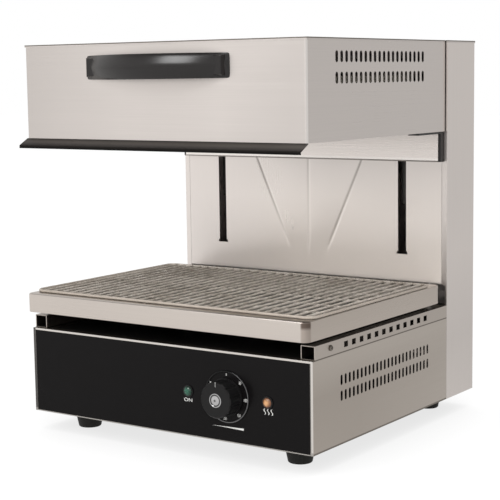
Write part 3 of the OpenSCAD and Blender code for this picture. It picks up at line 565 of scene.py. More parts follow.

# %% [markdown]
# ### Paint, plastic and rubber
#
# Smooth dark finishes live from their gloss. A fine noise in the bump gives the orange
# peel of paint or the grain of a mould, and the edges are a little lighter, where hands
# The strip under the hood shines only along its middle, and has a painted highlight near
# its top and painted shade below.

# %% Paint, plastic and rubber
SMOOTH = (  # name, colour, roughness, grain, depth of the grain, worn edge, gloss
    ("panel_black", (0.0040, 0.0036, 0.0038), 0.20, 900.0, 0.00003, 1.5, 0.09),
    # The dark finish is black paint, and also painted shade where it covers the deck plate and the
    # carriage frame.
    ("dark_paint", (0.011, 0.010, 0.010), 0.33, 1300.0, 0.00005, 2.0, 0.35),
    ("handle_plastic", (0.006, 0.005, 0.005), 0.22, 500.0, 0.00002, 1.0, 0.42),
    ("knob_plastic", (0.0070, 0.0068, 0.0070), 0.36, 1800.0, 0.00006, 1.5, 0.17),
    ("lamp_plastic", (0.008, 0.008, 0.008), 0.40, 1800.0, 0.00006, 1.5, 0.2),
    ("foot_rubber", (0.010, 0.010, 0.009), 0.62, 2200.0, 0.00012, 1.8, 0.25),
    ("gland_nylon", (0.02, 0.02, 0.02), 0.45, 1500.0, 0.00008, 1.5),
    ("terminal_nylon", (0.72, 0.68, 0.58), 0.45, 1500.0, 0.00008, 1.1),
    ("print_white", (0.56, 0.56, 0.545), 0.50, 1500.0, 0.00002, 1.0),
    ("print_grey", (0.22, 0.22, 0.215), 0.50, 1500.0, 0.00002, 1.0),
)


def smooth_paint(name, colour, roughness, grain, depth, worn_edge, gloss=0.5):
    f = Finish(name, colour, 0.0, roughness, Specular_IOR_Level=gloss)
    skin = f.noise((grain, grain, grain), 2.0, 0.5)
    haze = f.noise((9.0, 9.0, 9.0), 3.0, 0.6, (0.7, 2.3, 1.1))
    worn = f.blend(f.edge_mask(0.0008), colour, shade(colour, worn_edge))
    f.set("Base Color", f.blend(f.spread(haze, 0.0, 0.35), worn, shade(colour, 1.25)))
    f.set("Roughness", f.spread(haze, roughness * 0.85, roughness * 1.2))
    f.bump(skin, 0.25, depth)
    return f


def lip_paint():
    f = smooth_paint("lip_paint", (0.012, 0.010, 0.009), 0.38, 1300.0, 0.00005, 3.0, 0.38)
    # Painted highlight in a band near the top, painted shade on the lower part.
    f.paint(f.band("Z", 0.3935, 0.3975, 0.0012), (0.027, 0.022, 0.018), 0.9)
    f.paint(f.under("Z", 0.3885, 0.3915), (0.002, 0.0018, 0.0015), 0.95)
    shiny = f.band("Z", 0.3925, 0.3970, 0.0015)
    f.set("Specular IOR Level", f.spread(shiny, 0.08, 0.40, 0.0, 1.0))


for row in SMOOTH:
    smooth_paint(*row)
lip_paint()
print(len(SMOOTH) + 1, "smooth finishes")

# %% [markdown]
# ### Bright metals
#
# Plated and turned parts share one recipe: metal, low roughness and a faint turning
# pattern. Only the tone and the sharpness of the reflection differ. The cap of the knob
# has painted shade in its ring groove and at its centre, and the ring round the dial has
# painted shade at its upper left.

# %% Bright metals
BRIGHT = (  # name, colour, roughness, then the grain and its depth where they differ
    ("bright_trim", (0.72, 0.72, 0.73), 0.16),
    ("polished_rod", (0.7, 0.7, 0.71), 0.12, (60.0, 60.0, 1500.0)),
    ("screw_steel", (0.55, 0.54, 0.52), 0.3),
    ("rail_screw_steel", (0.20, 0.18, 0.16), 0.35),
    ("bush_brass", (0.68, 0.48, 0.2), 0.28),
    ("block_aluminium", (0.72, 0.73, 0.74), 0.35, (40.0, 900.0, 40.0), 0.00006),
    ("reflector_steel", (0.74, 0.72, 0.69), 0.22, (4.0, 700.0, 4.0)),
)


def bright_metal(name, colour, roughness, grain=(300.0, 300.0, 300.0), depth=0.00003):
    f = Finish(name, colour, 1.0, roughness)
    lines = f.noise(grain, 3.0, 0.6)
    f.set("Base Color", f.varied(lines, colour, 0.92, 1.06))
    f.set("Roughness", f.spread(lines, roughness * 0.8, roughness * 1.25))
    f.bump(lines, 0.1, depth)
    return f


def cap_metal():
    f = bright_metal("cap_metal", (0.50, 0.50, 0.51), 0.14)
    radius = f.from_axis(DIAL_X, DIAL_Z)
    # Painted shade in the ring groove and at the centre of the cap.
    groove = f.times(f.over(radius, 0.0056, 0.0062), f.under(radius, 0.0074, 0.0080))
    f.paint(groove, (0.04, 0.04, 0.04), 0.9)
    f.paint(f.under(radius, 0.0012, 0.0020), (0.08, 0.08, 0.08), 0.8)


def ring_trim():
    f = bright_metal("ring_trim", (0.17, 0.17, 0.175), 0.3)
    # Painted shade on the upper left of the ring.
    to_lower_right = f.maths("SUBTRACT", f.times(f.axis("X"), 0.8), f.times(f.axis("Z"), 0.6))
    f.paint(f.under(to_lower_right, 0.016, 0.040), (0.02, 0.02, 0.02), 0.95)


for row in BRIGHT:
    bright_metal(*row)
cap_metal()
ring_trim()
print(len(BRIGHT) + 2, "bright metals")

# %% [markdown]
# ### Metal that has been hot
#
# Grid wires and element sheaths turn straw, brown and grey in patches. Two noises of
# different size pick between three tones, and the finer one also moves the roughness and
# the bump. The rod round the grid is darker than the wires.

# %% Heat-tinted metal
PATCH = 16.0


def heat_tinted(name, tones, metallic):
    f = Finish(name, tones[1], metallic, 0.5)
    broad = f.noise((PATCH, PATCH, PATCH), 3.0, 0.6)
    fine = f.noise((PATCH * 9, PATCH * 9, PATCH * 9), 4.0, 0.6, (1.3, 0.2, 2.9))
    first = f.blend(f.spread(broad, 0.0, 1.0, 0.35, 0.65), tones[0], tones[1])
    f.set("Base Color", f.blend(f.spread(fine, 0.0, 0.75, 0.4, 0.7), first, tones[2]))
    f.set("Roughness", f.spread(fine, 0.6, 0.4))
    f.bump(fine, 0.3, 0.0001)
    return f


def grid_wire():
    tones = ((0.33, 0.285, 0.24), (0.54, 0.49, 0.435), (0.68, 0.63, 0.57))
    f = heat_tinted("grid_wire", tones, 0.1)
    at_side, at_front = f.over(f.from_middle(), 0.2180, 0.2200), f.under("Y", -0.1985, -0.1970)
    f.paint(f.maths("MAXIMUM", at_side, at_front), (0.36, 0.315, 0.27), 0.85)


grid_wire()
heat_tinted("element_sheath", ((0.09, 0.07, 0.06), (0.16, 0.13, 0.11), (0.22, 0.20, 0.19)), 0.8)
print("hot metals:", list(shelf)[-2:])

# %% [markdown]
# ### Lenses and wool
#
# A pilot lamp's lens is tinted clear plastic; painted shade toward its rim leaves it brightest
# in the middle, over the lamp. The heat blanket is a mat of fine fibres with a soft uneven skin.

# %% Lenses and wool
def lens_plastic(name, colour, rim, x):
    f = Finish(name, colour, 0.0, 0.22, Transmission_Weight=0.35, IOR=1.49)
    ribs = f.noise((260.0, 260.0, 260.0), 2.0, 0.5)
    f.set("Base Color", f.varied(ribs, colour, 0.8, 1.2))
    # Painted shade toward the rim of the lens.
    f.paint(f.over(f.from_axis(x, DIAL_Z), 0.0022, 0.0052), rim, 0.9)
    f.bump(ribs, 0.15, 0.00008)


def heat_blanket():
    colour = (0.66, 0.62, 0.52)
    f = Finish("heat_blanket", colour, 0.0, 0.9)
    fibres = f.noise((220.0, 900.0, 260.0), 4.0, 0.7)
    f.set("Base Color", f.varied(fibres, colour, 0.8, 1.1))
    f.bump(fibres, 0.8, 0.0012)


lens_plastic("green_lens", (0.022, 0.125, 0.078), (0.004, 0.032, 0.018), DIAL_X - LAMP_OFFSET)
lens_plastic("amber_lens", (0.66, 0.35, 0.16), (0.13, 0.040, 0.016), DIAL_X + LAMP_OFFSET)
heat_blanket()
print(len(shelf), "finishes on the shelf")

# %% [markdown]
# ## Pieces that deserve a finer shape
#
# The solids are exact but plain. A few of them are what the eye goes to first: the grip,
# the tray's rolled edges, the wires and the dial. Those are made again with softer
# sections, in the same places, and each then stands for the solid it replaces.

# %% Helpers for pieces
SHARP = radians(38)


def slot_of(node):
    """The record's slot that a CAD node came with."""
    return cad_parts[node].material_slots[0].material.name


def place_mesh(name, mesh, paint, body, node, replaces=True):
    """Makes a piece of a mesh with a finish from the shelf, on a body; it may replace a CAD node.
    """
    work = bmesh.new()
    work.from_mesh(mesh)
    bmesh.ops.remove_doubles(work, verts=work.verts, dist=1e-6)
    bmesh.ops.recalc_face_normals(work, faces=work.faces)
    work.to_mesh(mesh)
    work.free()
    mesh.materials.clear()
    mesh.materials.append(shelf[paint])
    for face in mesh.polygons:
        face.use_smooth = True
    mesh.set_sharp_from_angle(angle=SHARP)
    piece = into_scene(name, mesh)
    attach(piece, body)
    if replaces:
        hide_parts(node)
    print(f"{name}: {len(mesh.vertices)} vertices, {len(mesh.polygons)} faces, rides {body}")


def new_mesh(name, shape):
    """A mesh of vertices in millimetres and faces."""
    mesh = bpy.data.meshes.new(name)
    mesh.from_pydata([tuple(c * MM for c in v) for v in shape[0]], [], shape[1])
    return mesh


def add_piece(name, shape, paint, body, node, replaces=True):
    place_mesh(name, new_mesh(name, shape), paint, body, node, replaces)


def outcome(maker):
    """The mesh that an object comes out as. The object and its modifiers are removed."""
    bpy.context.view_layer.update()
    graph = bpy.context.evaluated_depsgraph_get()
    mesh = bpy.data.meshes.new_from_object(maker.evaluated_get(graph))
    maker.modifiers.clear()
    bpy.data.objects.remove(maker)
    return mesh


def loft(rings):
    """Vertices and faces of a closed skin through rings of equal length."""
    count = len(rings[0])
    verts = [v for ring in rings for v in ring]
    faces = []
    for i in range(0, (len(rings) - 1) * count, count):
        for k in range(count):
            n = (k + 1) % count
            faces.append((i + k, i + n, i + count + n, i + count + k))
    faces.append(tuple(range(count))[::-1])
    faces.append(tuple(range(len(verts) - count, len(verts))))
    return verts, faces


def merge(shapes):
    verts, faces = [], []
    for more_verts, more_faces in shapes:
        shift = len(verts)
        verts += more_verts
        faces += [tuple(i + shift for i in face) for face in more_faces]
    return verts, faces


print("the handle's slot is", slot_of("handle"))

# %% [markdown]
# ### The grip
#
# The grip is a bowed strap of moulded plastic with a crowned face, so that it catches one
# long highlight. Its section, a flat D with two gentle slopes, is swept along an arc and
# made lower towards both ends, which are rounded off. A foot at each end meets the hood.

# %% Grip
GRIP_RADIUS = 187.0
GRIP_CENTRE_Y = -58.5
GRIP_Z = 491.0
GRIP_HALF_HEIGHT = 15.5
GRIP_CROWN = 6.0
GRIP_BELLY = 3.0
END_ROUND = 2.6
GAP = 0.05
FOOT_IN, FOOT_OUT = 91.5, 107.5
FOOT_LOW, FOOT_HIGH = 478.8, 503.5
FOOT_RINGS = ((GAP, 0.0), (8.0, 0.3), (9.5, 1.5))


def grip_section(angle, reach):
    """A ring across the strap; reach is half the length of its arc."""
    along = abs(angle) * GRIP_RADIUS
    from_end = reach - along
    crown = GRIP_CROWN * (1.0 - 0.9 * (along / reach) ** 8)
    half = GRIP_HALF_HEIGHT * (1.0 - 0.03 * (along / reach) ** 3)
    if from_end < END_ROUND:
        half -= END_ROUND - sqrt(max(0.0, END_ROUND ** 2 - (END_ROUND - from_end) ** 2))
    ring = []
    for k in range(20):
        up = sin(radians(-90 + 180 * k / 19))
        ring.append((-crown * (0.8 * hypot(up, 0.12) ** 1.2 + 0.2 * up ** 8), half * up))
    for k in range(1, 9):
        turn = radians(90 - 180 * k / 9)
        ring.append((-GRIP_CROWN - GRIP_BELLY * cos(turn) ** 0.5, half * sin(turn)))
    points = []
    for out, up in ring:
        r = GRIP_RADIUS + out
        y = min(GRIP_CENTRE_Y - r * cos(angle), HOOD_FRONT - GAP)
        points.append((r * sin(angle), y, GRIP_Z + up))
    return points


def grip_foot(x0, x1):
    rings = []
    for out, inset in FOOT_RINGS:
        left, right, low, high = x0 + inset, x1 - inset, FOOT_LOW + inset, FOOT_HIGH - inset
        corners = ((left, low), (right, low), (right, high), (left, high))
        rings.append([(x, HOOD_FRONT - out, z) for x, z in corners])
    return loft(rings)


end_angle = acos((GRIP_CENTRE_Y - HOOD_FRONT) / GRIP_RADIUS)
reach = end_angle * GRIP_RADIUS
even = [end_angle * (i / 44) for i in range(-44, 45)]
near_ends = [e * (reach - d) / GRIP_RADIUS for d in (0.15, 0.5, 1.1, 1.8) for e in (-1, 1)]
angles = sorted({round(angle, 6) for angle in even + near_ends})
strap = loft([grip_section(angle, reach) for angle in angles])
feet = [grip_foot(-FOOT_OUT, -FOOT_IN), grip_foot(FOOT_IN, FOOT_OUT)]
add_piece("grip", merge([strap] + feet), "handle_plastic", "hood", "handle")

# %% [markdown]
# ### The tray
#
# The tray is pressed from one sheet: a deep pan, a flat rim, and a skirt folded down all
# round. Light runs along the radius of each fold. The sheet is lofted through rounded
# rectangles, ring by ring, which gives each fold exactly the radius it needs.

# %% Tray
TRAY_FRONT, TRAY_BACK, TRAY_HALF = -217.5, 124.5, 225.0
TRAY_TOP, TRAY_FLOOR, SKIRT_LOW = 190.0, 158.8, 165.0
PAN_FRONT, PAN_BACK, PAN_HALF = -195.5, 96.5, 212.0
SKIRT_RADIUS, PAN_RADIUS, LEAST_RADIUS = 10.0, 3.5, 1.2
SHEET, FOLD, FLOOR_FOLD = 1.2, 1.8, 3.0
CORNER_STEPS = 8
PAN_MIDDLE = 40.0


def round_rectangle(half_x, y0, y1, radius, z):
    x, low, high = half_x - radius, y0 + radius, y1 - radius
    ring = []
    for cx, cy, start in ((x, high, 0), (-x, high, 90), (-x, low, 180), (x, low, 270)):
        for k in range(CORNER_STEPS + 1):
            turn = radians(start + 90 * k / CORNER_STEPS)
            ring.append((cx + radius * cos(turn), cy + radius * sin(turn), z))
    return ring


def skirt_ring(inset, z):
    radius = SKIRT_RADIUS - inset * 0.8
    return round_rectangle(TRAY_HALF - inset, TRAY_FRONT + inset, TRAY_BACK - inset, radius, z)


def pan_ring(inset, z):
    radius = max(LEAST_RADIUS, PAN_RADIUS - inset * 0.6)
    return round_rectangle(PAN_HALF - inset, PAN_FRONT + inset, PAN_BACK - inset, radius, z)


def quarter(steps, first=0):
    """Sines and cosines of even steps through a right angle."""
    turns = [radians(90 * k / steps) for k in range(first, steps + 1)]
    return [(sin(t), cos(t)) for t in turns]


pan_floor, fold_z = TRAY_FLOOR + SHEET, TRAY_TOP - FOLD
tray_rings = [pan_ring(PAN_MIDDLE, pan_floor), pan_ring(SHEET + FLOOR_FOLD, pan_floor)]
for s, c in quarter(3, 1):
    inset = SHEET + FLOOR_FOLD - FLOOR_FOLD * s
    tray_rings.append(pan_ring(inset, pan_floor + FLOOR_FOLD - FLOOR_FOLD * c))
tray_rings += [pan_ring(SHEET - FOLD + FOLD * c, fold_z + FOLD * s) for s, c in quarter(3)]
tray_rings += [skirt_ring(FOLD - FOLD * s, fold_z + FOLD * c) for s, c in quarter(4)]
tray_rings += [skirt_ring(0.0, SKIRT_LOW), skirt_ring(SHEET, SKIRT_LOW), skirt_ring(SHEET, fold_z)]
tray_rings += [skirt_ring(FOLD, TRAY_TOP - SHEET), pan_ring(-0.6, TRAY_TOP - SHEET)]
tray_rings += [pan_ring(0.0, fold_z), pan_ring(0.0, TRAY_FLOOR + FLOOR_FOLD)]
tray_rings += [pan_ring(0.9, TRAY_FLOOR + 0.9), pan_ring(FLOOR_FOLD, TRAY_FLOOR)]
tray_rings.append(pan_ring(PAN_MIDDLE, TRAY_FLOOR))
add_piece("tray", loft(tray_rings), "tray_steel", "tray", "drip_tray")

# %% [markdown]
# ### The wire grid
#
# Twenty-nine wires lie side by side on five cross wires, and a heavier rod runs round
# them all. One wire repeated along a line is just what Geometry Nodes are for. The pitch
# and the diameters are named inputs, and a little fixed noise bends each wire.

# %% Geometry Nodes helpers
class ShapeTree(Graph):
    """A Geometry Nodes tree with named inputs."""

    def __init__(self, name, **inputs):
        super().__init__(bpy.data.node_groups.new(name, "GeometryNodeTree"))
        sockets = self.tree.interface
        sockets.new_socket("Geometry", in_out="OUTPUT", socket_type="NodeSocketGeometry")
        self.values = {}
        for label, value in inputs.items():
            kind = "NodeSocketInt" if isinstance(value, int) else "NodeSocketFloat"
            shown = label.replace("_", " ").capitalize()
            item = sockets.new_socket(shown, in_out="INPUT", socket_type=kind)
            item.default_value = value
            self.values[item.identifier] = value
        start = self.tree.nodes.new("NodeGroupInput")
        self.end = self.tree.nodes.new("NodeGroupOutput")
        self.given = dict(zip(inputs, start.outputs))

    def vector(self, x=0.0, y=0.0, z=0.0):
        return self.node("CombineXYZ", (x, y, z))

    def line(self, start, end):
        return self.node("GeometryNodeCurvePrimitiveLine", (start, end))

    def repeated(self, shape, count, start, step):
        """The shape at count places along a line."""
        sockets = {"Count": count, "Start Location": start, "Offset": step}
        sockets = {"Points": self.node("GeometryNodeMeshLine", sockets), "Instance": shape}
        return self.node("GeometryNodeInstanceOnPoints", sockets)

    def tube(self, path, diameter, sides=8):
        sockets = {"Resolution": sides, "Radius": self.times(diameter, 0.5)}
        profile = self.node("GeometryNodeCurvePrimitiveCircle", sockets)
        sockets = {"Curve": path, "Profile Curve": profile, "Fill Caps": True}
        return self.node("GeometryNodeCurveToMesh", sockets)

    def finish(self, shapes, paint):
        joined = self.tree.nodes.new("GeometryNodeJoinGeometry")
        for shape in shapes:
            self.feed(joined.inputs[0], shape)
        real = self.node("GeometryNodeRealizeInstances", (joined.outputs[0],))
        sockets = {"Geometry": real, "Material": shelf[paint]}
        self.feed(self.end.inputs[0], self.node("GeometryNodeSetMaterial", sockets))

    def to_mesh(self, name):
        """The result as a plain mesh, made on a carrier."""
        carrier = into_scene(name + "_carrier", bpy.data.meshes.new(name + "_carrier"))
        modifier = carrier.modifiers.new("nodes", "NODES")
        modifier.node_group = self.tree
        for identifier, value in self.values.items():
            modifier[identifier] = value
        mesh = outcome(carrier)
        mesh.name = name
        return mesh


print("repeated shapes are built by", ShapeTree.__name__)

# %% Wire grid
CROSS_WIRES = 5
WIRE_POINTS = 25
CROSS_DROP = 0.0029
ROD_DROP = 0.0002
WANDER = (0.0022, 0.0, 0.0006)

grid = ShapeTree("wire_grid_nodes", side_wires=14, pitch=0.015, wire=0.0032, rod=0.004,
                 cross_wire=0.0036, half_width=0.2215, front=-0.2, back=0.099,
                 height=0.1922, corner=0.012, cross_reach=0.20998)
(side_wires, pitch, wire, rod, cross_wire, half_width, front, back, height, corner,
 cross_reach) = grid.given.values()
middle = grid.times(grid.maths("ADD", front, back), 0.5)
depth = grid.maths("SUBTRACT", back, front)
count = grid.maths("ADD", grid.times(side_wires, 2.0), 1.0)
first_x = grid.times(side_wires, pitch, -1.0)

one_wire = grid.line(grid.vector(y=front), grid.vector(y=back))
fine_wire = grid.node("GeometryNodeResampleCurve", {"Curve": one_wire, "Count": WIRE_POINTS})
row = grid.repeated(fine_wire, count, grid.vector(first_x, 0.0, height), grid.vector(pitch))
loose = grid.node("GeometryNodeRealizeInstances", (row,))
wander = grid.node("TexNoise", {"Scale": 26.0, "Detail": 1.0}, "Color")
shaken = grid.vectors("SUBTRACT", wander, (0.5, 0.5, 0.5))
offset = grid.vectors("MULTIPLY", shaken, WANDER)
bent = grid.node("GeometryNodeSetPosition", {"Geometry": loose, "Offset": offset})
wires = grid.tube(bent, wire)

cross_line = grid.line(grid.vector(grid.times(cross_reach, -1.0)), grid.vector(cross_reach))
cross_step = grid.maths("DIVIDE", depth, CROSS_WIRES + 1.0)
cross_z = grid.maths("SUBTRACT", height, CROSS_DROP)
first_cross = grid.vector(0.0, grid.maths("ADD", front, cross_step), cross_z)
one_cross = grid.tube(cross_line, cross_wire)
cross_row = grid.repeated(one_cross, CROSS_WIRES, first_cross, grid.vector(y=cross_step))

sockets = {"Width": grid.times(half_width, 2.0), "Height": depth}
outline = grid.node("GeometryNodeCurvePrimitiveQuadrilateral", sockets)
sockets = {"Curve": outline, "Count": 6, "Radius": corner}
rounded = grid.node("GeometryNodeFilletCurve", sockets, mode="POLY")
rod_place = grid.vector(0.0, middle, grid.maths("SUBTRACT", height, ROD_DROP))
sockets = {"Geometry": grid.tube(rounded, rod, 12), "Translation": rod_place}
grid.finish([wires, cross_row, grid.node("GeometryNodeTransform", sockets)], "grid_wire")
place_mesh("grid_wires", grid.to_mesh("grid_wires"), "grid_wire", "grid", "wire_grid")

# %% [markdown]
# ### The front sheet of the column
#
# The sheet is a grid of cells. Its upright lines lean with the creases, nine lines to
# each, so that the grooves come out clean. The cells in the two slots are left out. Where
# an edge has a cell on one side only, a wall closes the thickness. A rolled hem runs along
# the lower edge.

# %% Front sheet
FRONT_Y, FRONT_HALF, FRONT_SHEET = 143.5, 216.7, 1.2
HEM_START, HEM_RADIUS, HEM_TAIL = 189.6, 2.6, 6.0
GROOVE_DEPTH, GROOVE_STEP = 0.7, 1.1
SLOT_IN, SLOT_OUT, SLOT_LOW, SLOT_HIGH = 148.5, 161.5, 230.0, 400.0
FOOT_WIDER, SLOT_FOOT = 2.0, 226.0
SLOT_LINES = (SLOT_IN - FOOT_WIDER, SLOT_IN, SLOT_OUT, SLOT_OUT + FOOT_WIDER, FRONT_HALF)
ROWS = (HEM_START, 206.0, 216.0, 220.0, 224.0, SLOT_FOOT, SLOT_LOW, 235.0, 240.0, 270.0,
        300.0, 330.0, 352.0, 357.0, 362.0, SLOT_HIGH, 410.0, 518.8)


def sheet_row(z):
    """Points (x, depth) of one row of the sheet, in millimetres."""
    points = [(side * x, 0.0) for side in (-1, 1) for x in SLOT_LINES]
    for crease in CREASES:
        x0, z0, x1, z1 = (c / MM for c in crease)
        share = min(1.0, max(0.0, (z - z0) / (z1 - z0)))
        ends = min(1.0, max(0.0, (z - z0 + 6.0) / 16.0), max(0.0, (z1 + 10.0 - z) / 10.0))
        for k in range(-4, 5):
            x = x0 + (x1 - x0) * share + GROOVE_STEP * k
            points.append((x, GROOVE_DEPTH * 0.5 * (1.0 + cos(pi * k / 4)) * ends))
    return sorted(points)


def is_open(x, z):
    """Whether a slot, or the wider foot of a slot, is at a place."""
    in_slot = SLOT_IN < abs(x) < SLOT_OUT and SLOT_LOW < z < SLOT_HIGH
    wide = SLOT_IN - FOOT_WIDER < abs(x) < SLOT_OUT + FOOT_WIDER
    return in_slot or (wide and SLOT_FOOT < z < SLOT_LOW)


def slotted_sheet():
    rows = [sheet_row(z) for z in ROWS]
    front = [(x, FRONT_Y + depth, z) for z, row in zip(ROWS, rows) for x, depth in row]
    behind = [(x, y + FRONT_SHEET, z) for x, y, z in front]
    across, shift = len(rows[0]), len(front)
    cells = []
    for j in range(len(ROWS) - 1):
        for i in range(across - 1):
            middle_x = (rows[j][i][0] + rows[j][i + 1][0]) / 2
            if not is_open(middle_x, (ROWS[j] + ROWS[j + 1]) / 2):
                k = j * across + i
                cells.append((k, k + 1, k + 1 + across, k + across))
    edges = {(cell[n], cell[(n + 1) % 4]) for cell in cells for n in range(4)}
    walls = [(b, a, a + shift, b + shift) for a, b in edges if (b, a) not in edges]
    backs = [tuple(k + shift for k in reversed(cell)) for cell in cells]
    return front + behind, cells + backs + sorted(walls)


def rolled_hem():
    inner = HEM_RADIUS - FRONT_SHEET
    arc = [radians(180 + 15 * k) for k in range(13)]
    path = [(HEM_RADIUS + HEM_RADIUS * cos(t), HEM_RADIUS * sin(t)) for t in arc]
    path += [(2 * HEM_RADIUS, HEM_TAIL), (2 * HEM_RADIUS - FRONT_SHEET, HEM_TAIL)]
    path += [(HEM_RADIUS + inner * cos(t), inner * sin(t)) for t in reversed(arc)]
    return loft([[(x, FRONT_Y + a, HEM_START + b) for a, b in path]
                 for x in (-FRONT_HALF, FRONT_HALF)])


front_shape = merge([slotted_sheet(), rolled_hem()])
add_piece("front_sheet", front_shape, "column_front_steel", "stand", "column_front")

# %% [markdown]
# ### Louvres at the back
#
# Each lower vent in the back has a pressed hood over it, so that air gets out and a
# splash doesn't get in. One hood is a bent strip with two cheeks, open below. Geometry
# Nodes repeat it up a line, once for each vent.

# %% Back louvres
LOUVRE_OUT, LOUVRE_TALL, LOUVRE_HALF, WALL = 4.0, 8.4, 61.5, 0.8
CLEAR = 0.02


def louvre_line(thinner):
    out, tall = LOUVRE_OUT - thinner, LOUVRE_TALL - thinner
    bend = [radians(90 - 11.25 * k) for k in range(9)]
    return [(out * cos(t), tall * (0.35 + 0.65 * sin(t))) for t in bend] + [(out, 0.0)]


def drawn_out(outline, x0, x1):
    """A solid with an outline of (out, up) from x0 to x1."""
    return loft([[(x, out, up) for out, up in outline] for x in (x0, x1)])


strip = louvre_line(0.0) + louvre_line(WALL)[::-1]
cheek = louvre_line(0.0) + [(0.0, 0.0)]
inner, outer = LOUVRE_HALF + CLEAR, LOUVRE_HALF + WALL
cheeks = [drawn_out(cheek, -outer, -inner), drawn_out(cheek, inner, outer)]
one_hood = merge([drawn_out(strip, -LOUVRE_HALF, LOUVRE_HALF)] + cheeks)
pattern = into_scene("louvre_pattern", new_mesh("louvre_pattern", one_hood))
louvre = ShapeTree("louvre_nodes", count=5, pitch=0.012, left=0.1, back=0.2285, lowest=0.0545)
count, pitch, left, back, lowest = louvre.given.values()
shape = louvre.node("GeometryNodeObjectInfo", {"Object": pattern}, "Geometry")
hoods = louvre.repeated(shape, count, louvre.vector(left, back, lowest), louvre.vector(z=pitch))
louvre.finish([hoods], "column_steel")
louvre_mesh = louvre.to_mesh("back_louvres")
place_mesh("back_louvres", louvre_mesh, "column_steel", "stand", "column_shell", replaces=False)
bpy.data.objects.remove(pattern)

# %% [markdown]
# ### The dial
#
# The scale is printed on a fixed plate: numbers from 0 to 300, and two bars where the
# turn ends. Under the lamps and the knob stand a word, three heat waves and a wedge. Text
# objects become meshes at once, and each letter is moved to its place in the mesh, so
# that the finished print sits at the origin like every other piece.

# %% Printed marks
INK = 0.1
TURN_OF_DIAL = 280
NUMBERS = 7
NUMBER_RADIUS = 28.2
BAR_IN, BAR_OUT, BAR_HALF = 26.4, 30.4, 0.55
SCALE_Y = PANEL_FRONT - 1.5
PANEL_Y = PANEL_FRONT - 0.02


def printed(words, size, x, z, y, squeeze):
    data = bpy.data.curves.new("print_" + words, "FONT")
    data.body = words
    data.size = size
    data.align_x = "CENTER"
    data.align_y = "CENTER"
    data.extrude = INK / 2
    mesh = outcome(into_scene("print_" + words, data))
    verts = [(x + v.co.x * squeeze, y - v.co.z, z + v.co.y) for v in mesh.vertices]
    faces = [tuple(face.vertices) for face in mesh.polygons]
    bpy.data.meshes.remove(mesh)
    return verts, faces


def flat_shape(points, y, thick=INK):
    """A thin slab with an outline of (x, z), from y outwards."""
    count = len(points)
    verts = [(x, y, z) for x, z in points] + [(x, y - thick, z) for x, z in points]
    faces = [tuple(range(count)), tuple(range(2 * count - 1, count - 1, -1))]
    faces += [(k, k + count, (k + 1) % count + count, (k + 1) % count) for k in range(count)]
    return verts, faces


def number(i):
    angle = radians(90 - i * TURN_OF_DIAL / (NUMBERS - 1))
    x = DIAL_X + NUMBER_RADIUS * cos(angle)
    z = DIAL_Z + NUMBER_RADIUS * sin(angle)
    return printed(str(50 * i), 5.4 if i else 4.6, x, z, SCALE_Y - 0.05, 0.72)


def end_bar(degrees):
    c, s = cos(radians(degrees)), sin(radians(degrees))
    outline = ((BAR_IN, -BAR_HALF), (BAR_OUT, -BAR_HALF), (BAR_OUT, BAR_HALF), (BAR_IN, BAR_HALF))
    corners = [(DIAL_X + (r * c - w * s), DIAL_Z + (r * s + w * c)) for r, w in outline]
    return flat_shape(corners, SCALE_Y)


def heat_wave(x):
    points = [(x + 1.2 * sin(j * pi / 6), 68.6 + j * 0.62) for j in range(13)]
    left, right = ([(a + out, z) for a, z in points] for out in (-0.55, 0.55))
    return flat_shape(left + right[::-1], PANEL_Y)


marks = [number(i) for i in range(NUMBERS)] + [end_bar(147), end_bar(152)]
marks.append(printed("ON", 6.4, 39.0, 72.3, PANEL_FRONT - 0.06, 1.35))
marks.append(flat_shape([(76.0, 45.2), (124.0, 43.9), (124.0, 46.5)], PANEL_Y))
marks += [heat_wave(161.0 + 5.2 * k) for k in (-1, 0, 1)]
add_piece("printed_marks", merge(marks), "print_white", "stand", "dial_plate", replaces=False)

# %% [markdown]
# ### The knob
#
# The pointer is a line of pale paint in the groove of the knob, and the cap is a small
# turned disc with a raised rim, a ring groove and a domed middle. Both turn with the knob.

# %% Knob details
KNOB_FACE = PANEL_FRONT - 24.95
POINTER = ((99.3, 100.6), (100.7, 100.6), (100.7, 106.8), (99.3, 106.8))
CAP_PROFILE = (  # radius, distance outwards
    (8.9, 0.05), (8.9, 0.9), (8.6, 1.25), (8.1, 1.35), (7.6, 1.2), (7.2, 0.7),
    (6.9, 0.55), (6.3, 0.85), (5.2, 1.28), (3.9, 1.62), (2.4, 1.86), (0.8, 1.95),
)
CAP_SIDES = 48


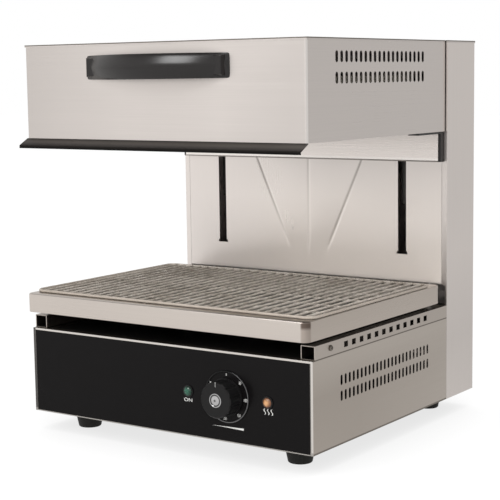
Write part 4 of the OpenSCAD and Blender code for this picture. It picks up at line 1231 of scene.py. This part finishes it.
def cap_ring(radius, out):
    turns = [2 * pi * k / CAP_SIDES for k in range(CAP_SIDES)]
    return [(DIAL_X + radius * cos(t), KNOB_FACE - out, DIAL_Z + radius * sin(t))
            for t in turns]


pointer = flat_shape(POINTER, KNOB_FACE + 0.2, 0.5)
add_piece("pointer_line", pointer, "print_grey", "knob", "knob_body", replaces=False)
cap = loft([cap_ring(radius, out) for radius, out in CAP_PROFILE])
add_piece("cap", cap, "cap_metal", "knob", "knob_cap")

# %% [markdown]
# ## Dressing the solids
#
# A CAD node keeps its own mesh, so its material goes into the slot that it came with.
# The list reads like a paint shop's ticket: a finish, and the nodes that get it.

# %% Paint ticket
TICKET = {
    "hood_steel": "hood_shell",
    "lid_steel": "hood_top column_cap",
    "cover_steel": "hood_back_plate",
    "column_steel": "column_shell",
    "column_front_steel": "column_front",
    "base_steel": "base_shell",
    "rail_steel": "rail_left rail_right",
    "tray_steel": "drip_tray",
    "inner_steel": "base_floor top_bar low_bar spring_shelf tie_plate hood_arms thermostat "
                   "element_supports",
    "panel_black": "control_panel dial_plate",
    # Deck plate and carriage frame are dark partly as painted shade, under the tray and behind the
    # cover plate; brackets and gas springs are black paint.
    "dark_paint": "carriage_frame hood_brackets deck_plate gas_springs",
    "lip_paint": "front_lip",
    "handle_plastic": "handle",
    "knob_plastic": "knob_body",
    "lamp_plastic": "green_holder amber_holder",
    "bright_trim": "knob_cap knob_spindle",
    "ring_trim": "dial_ring",
    "polished_rod": "guide_rods gas_rods",
    "green_lens": "green_lens",
    "amber_lens": "amber_lens",
    "foot_rubber": "foot_front_left foot_front_right foot_back_left foot_back_right",
    "gland_nylon": "cable_gland",
    "terminal_nylon": "terminal_block",
    "bush_brass": "slider_bushes",
    "block_aluminium": "slider_blocks",
    "screw_steel": "foot_nuts back_screws handle_screws",
    "rail_screw_steel": "rail_screws",
    "reflector_steel": "reflector",
    "heat_blanket": "insulation",
    "element_sheath": "element_front element_middle element_back",
    "grid_wire": "wire_grid",
}
painted = 0
for finish, names in TICKET.items():
    for name in names.split():
        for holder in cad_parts[name].material_slots:
            holder.material = shelf[finish]
        painted += 1
print("painted", painted, "of", len(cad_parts), "nodes")

# %% View transform
bpy.context.scene.view_settings.view_transform = "Standard"
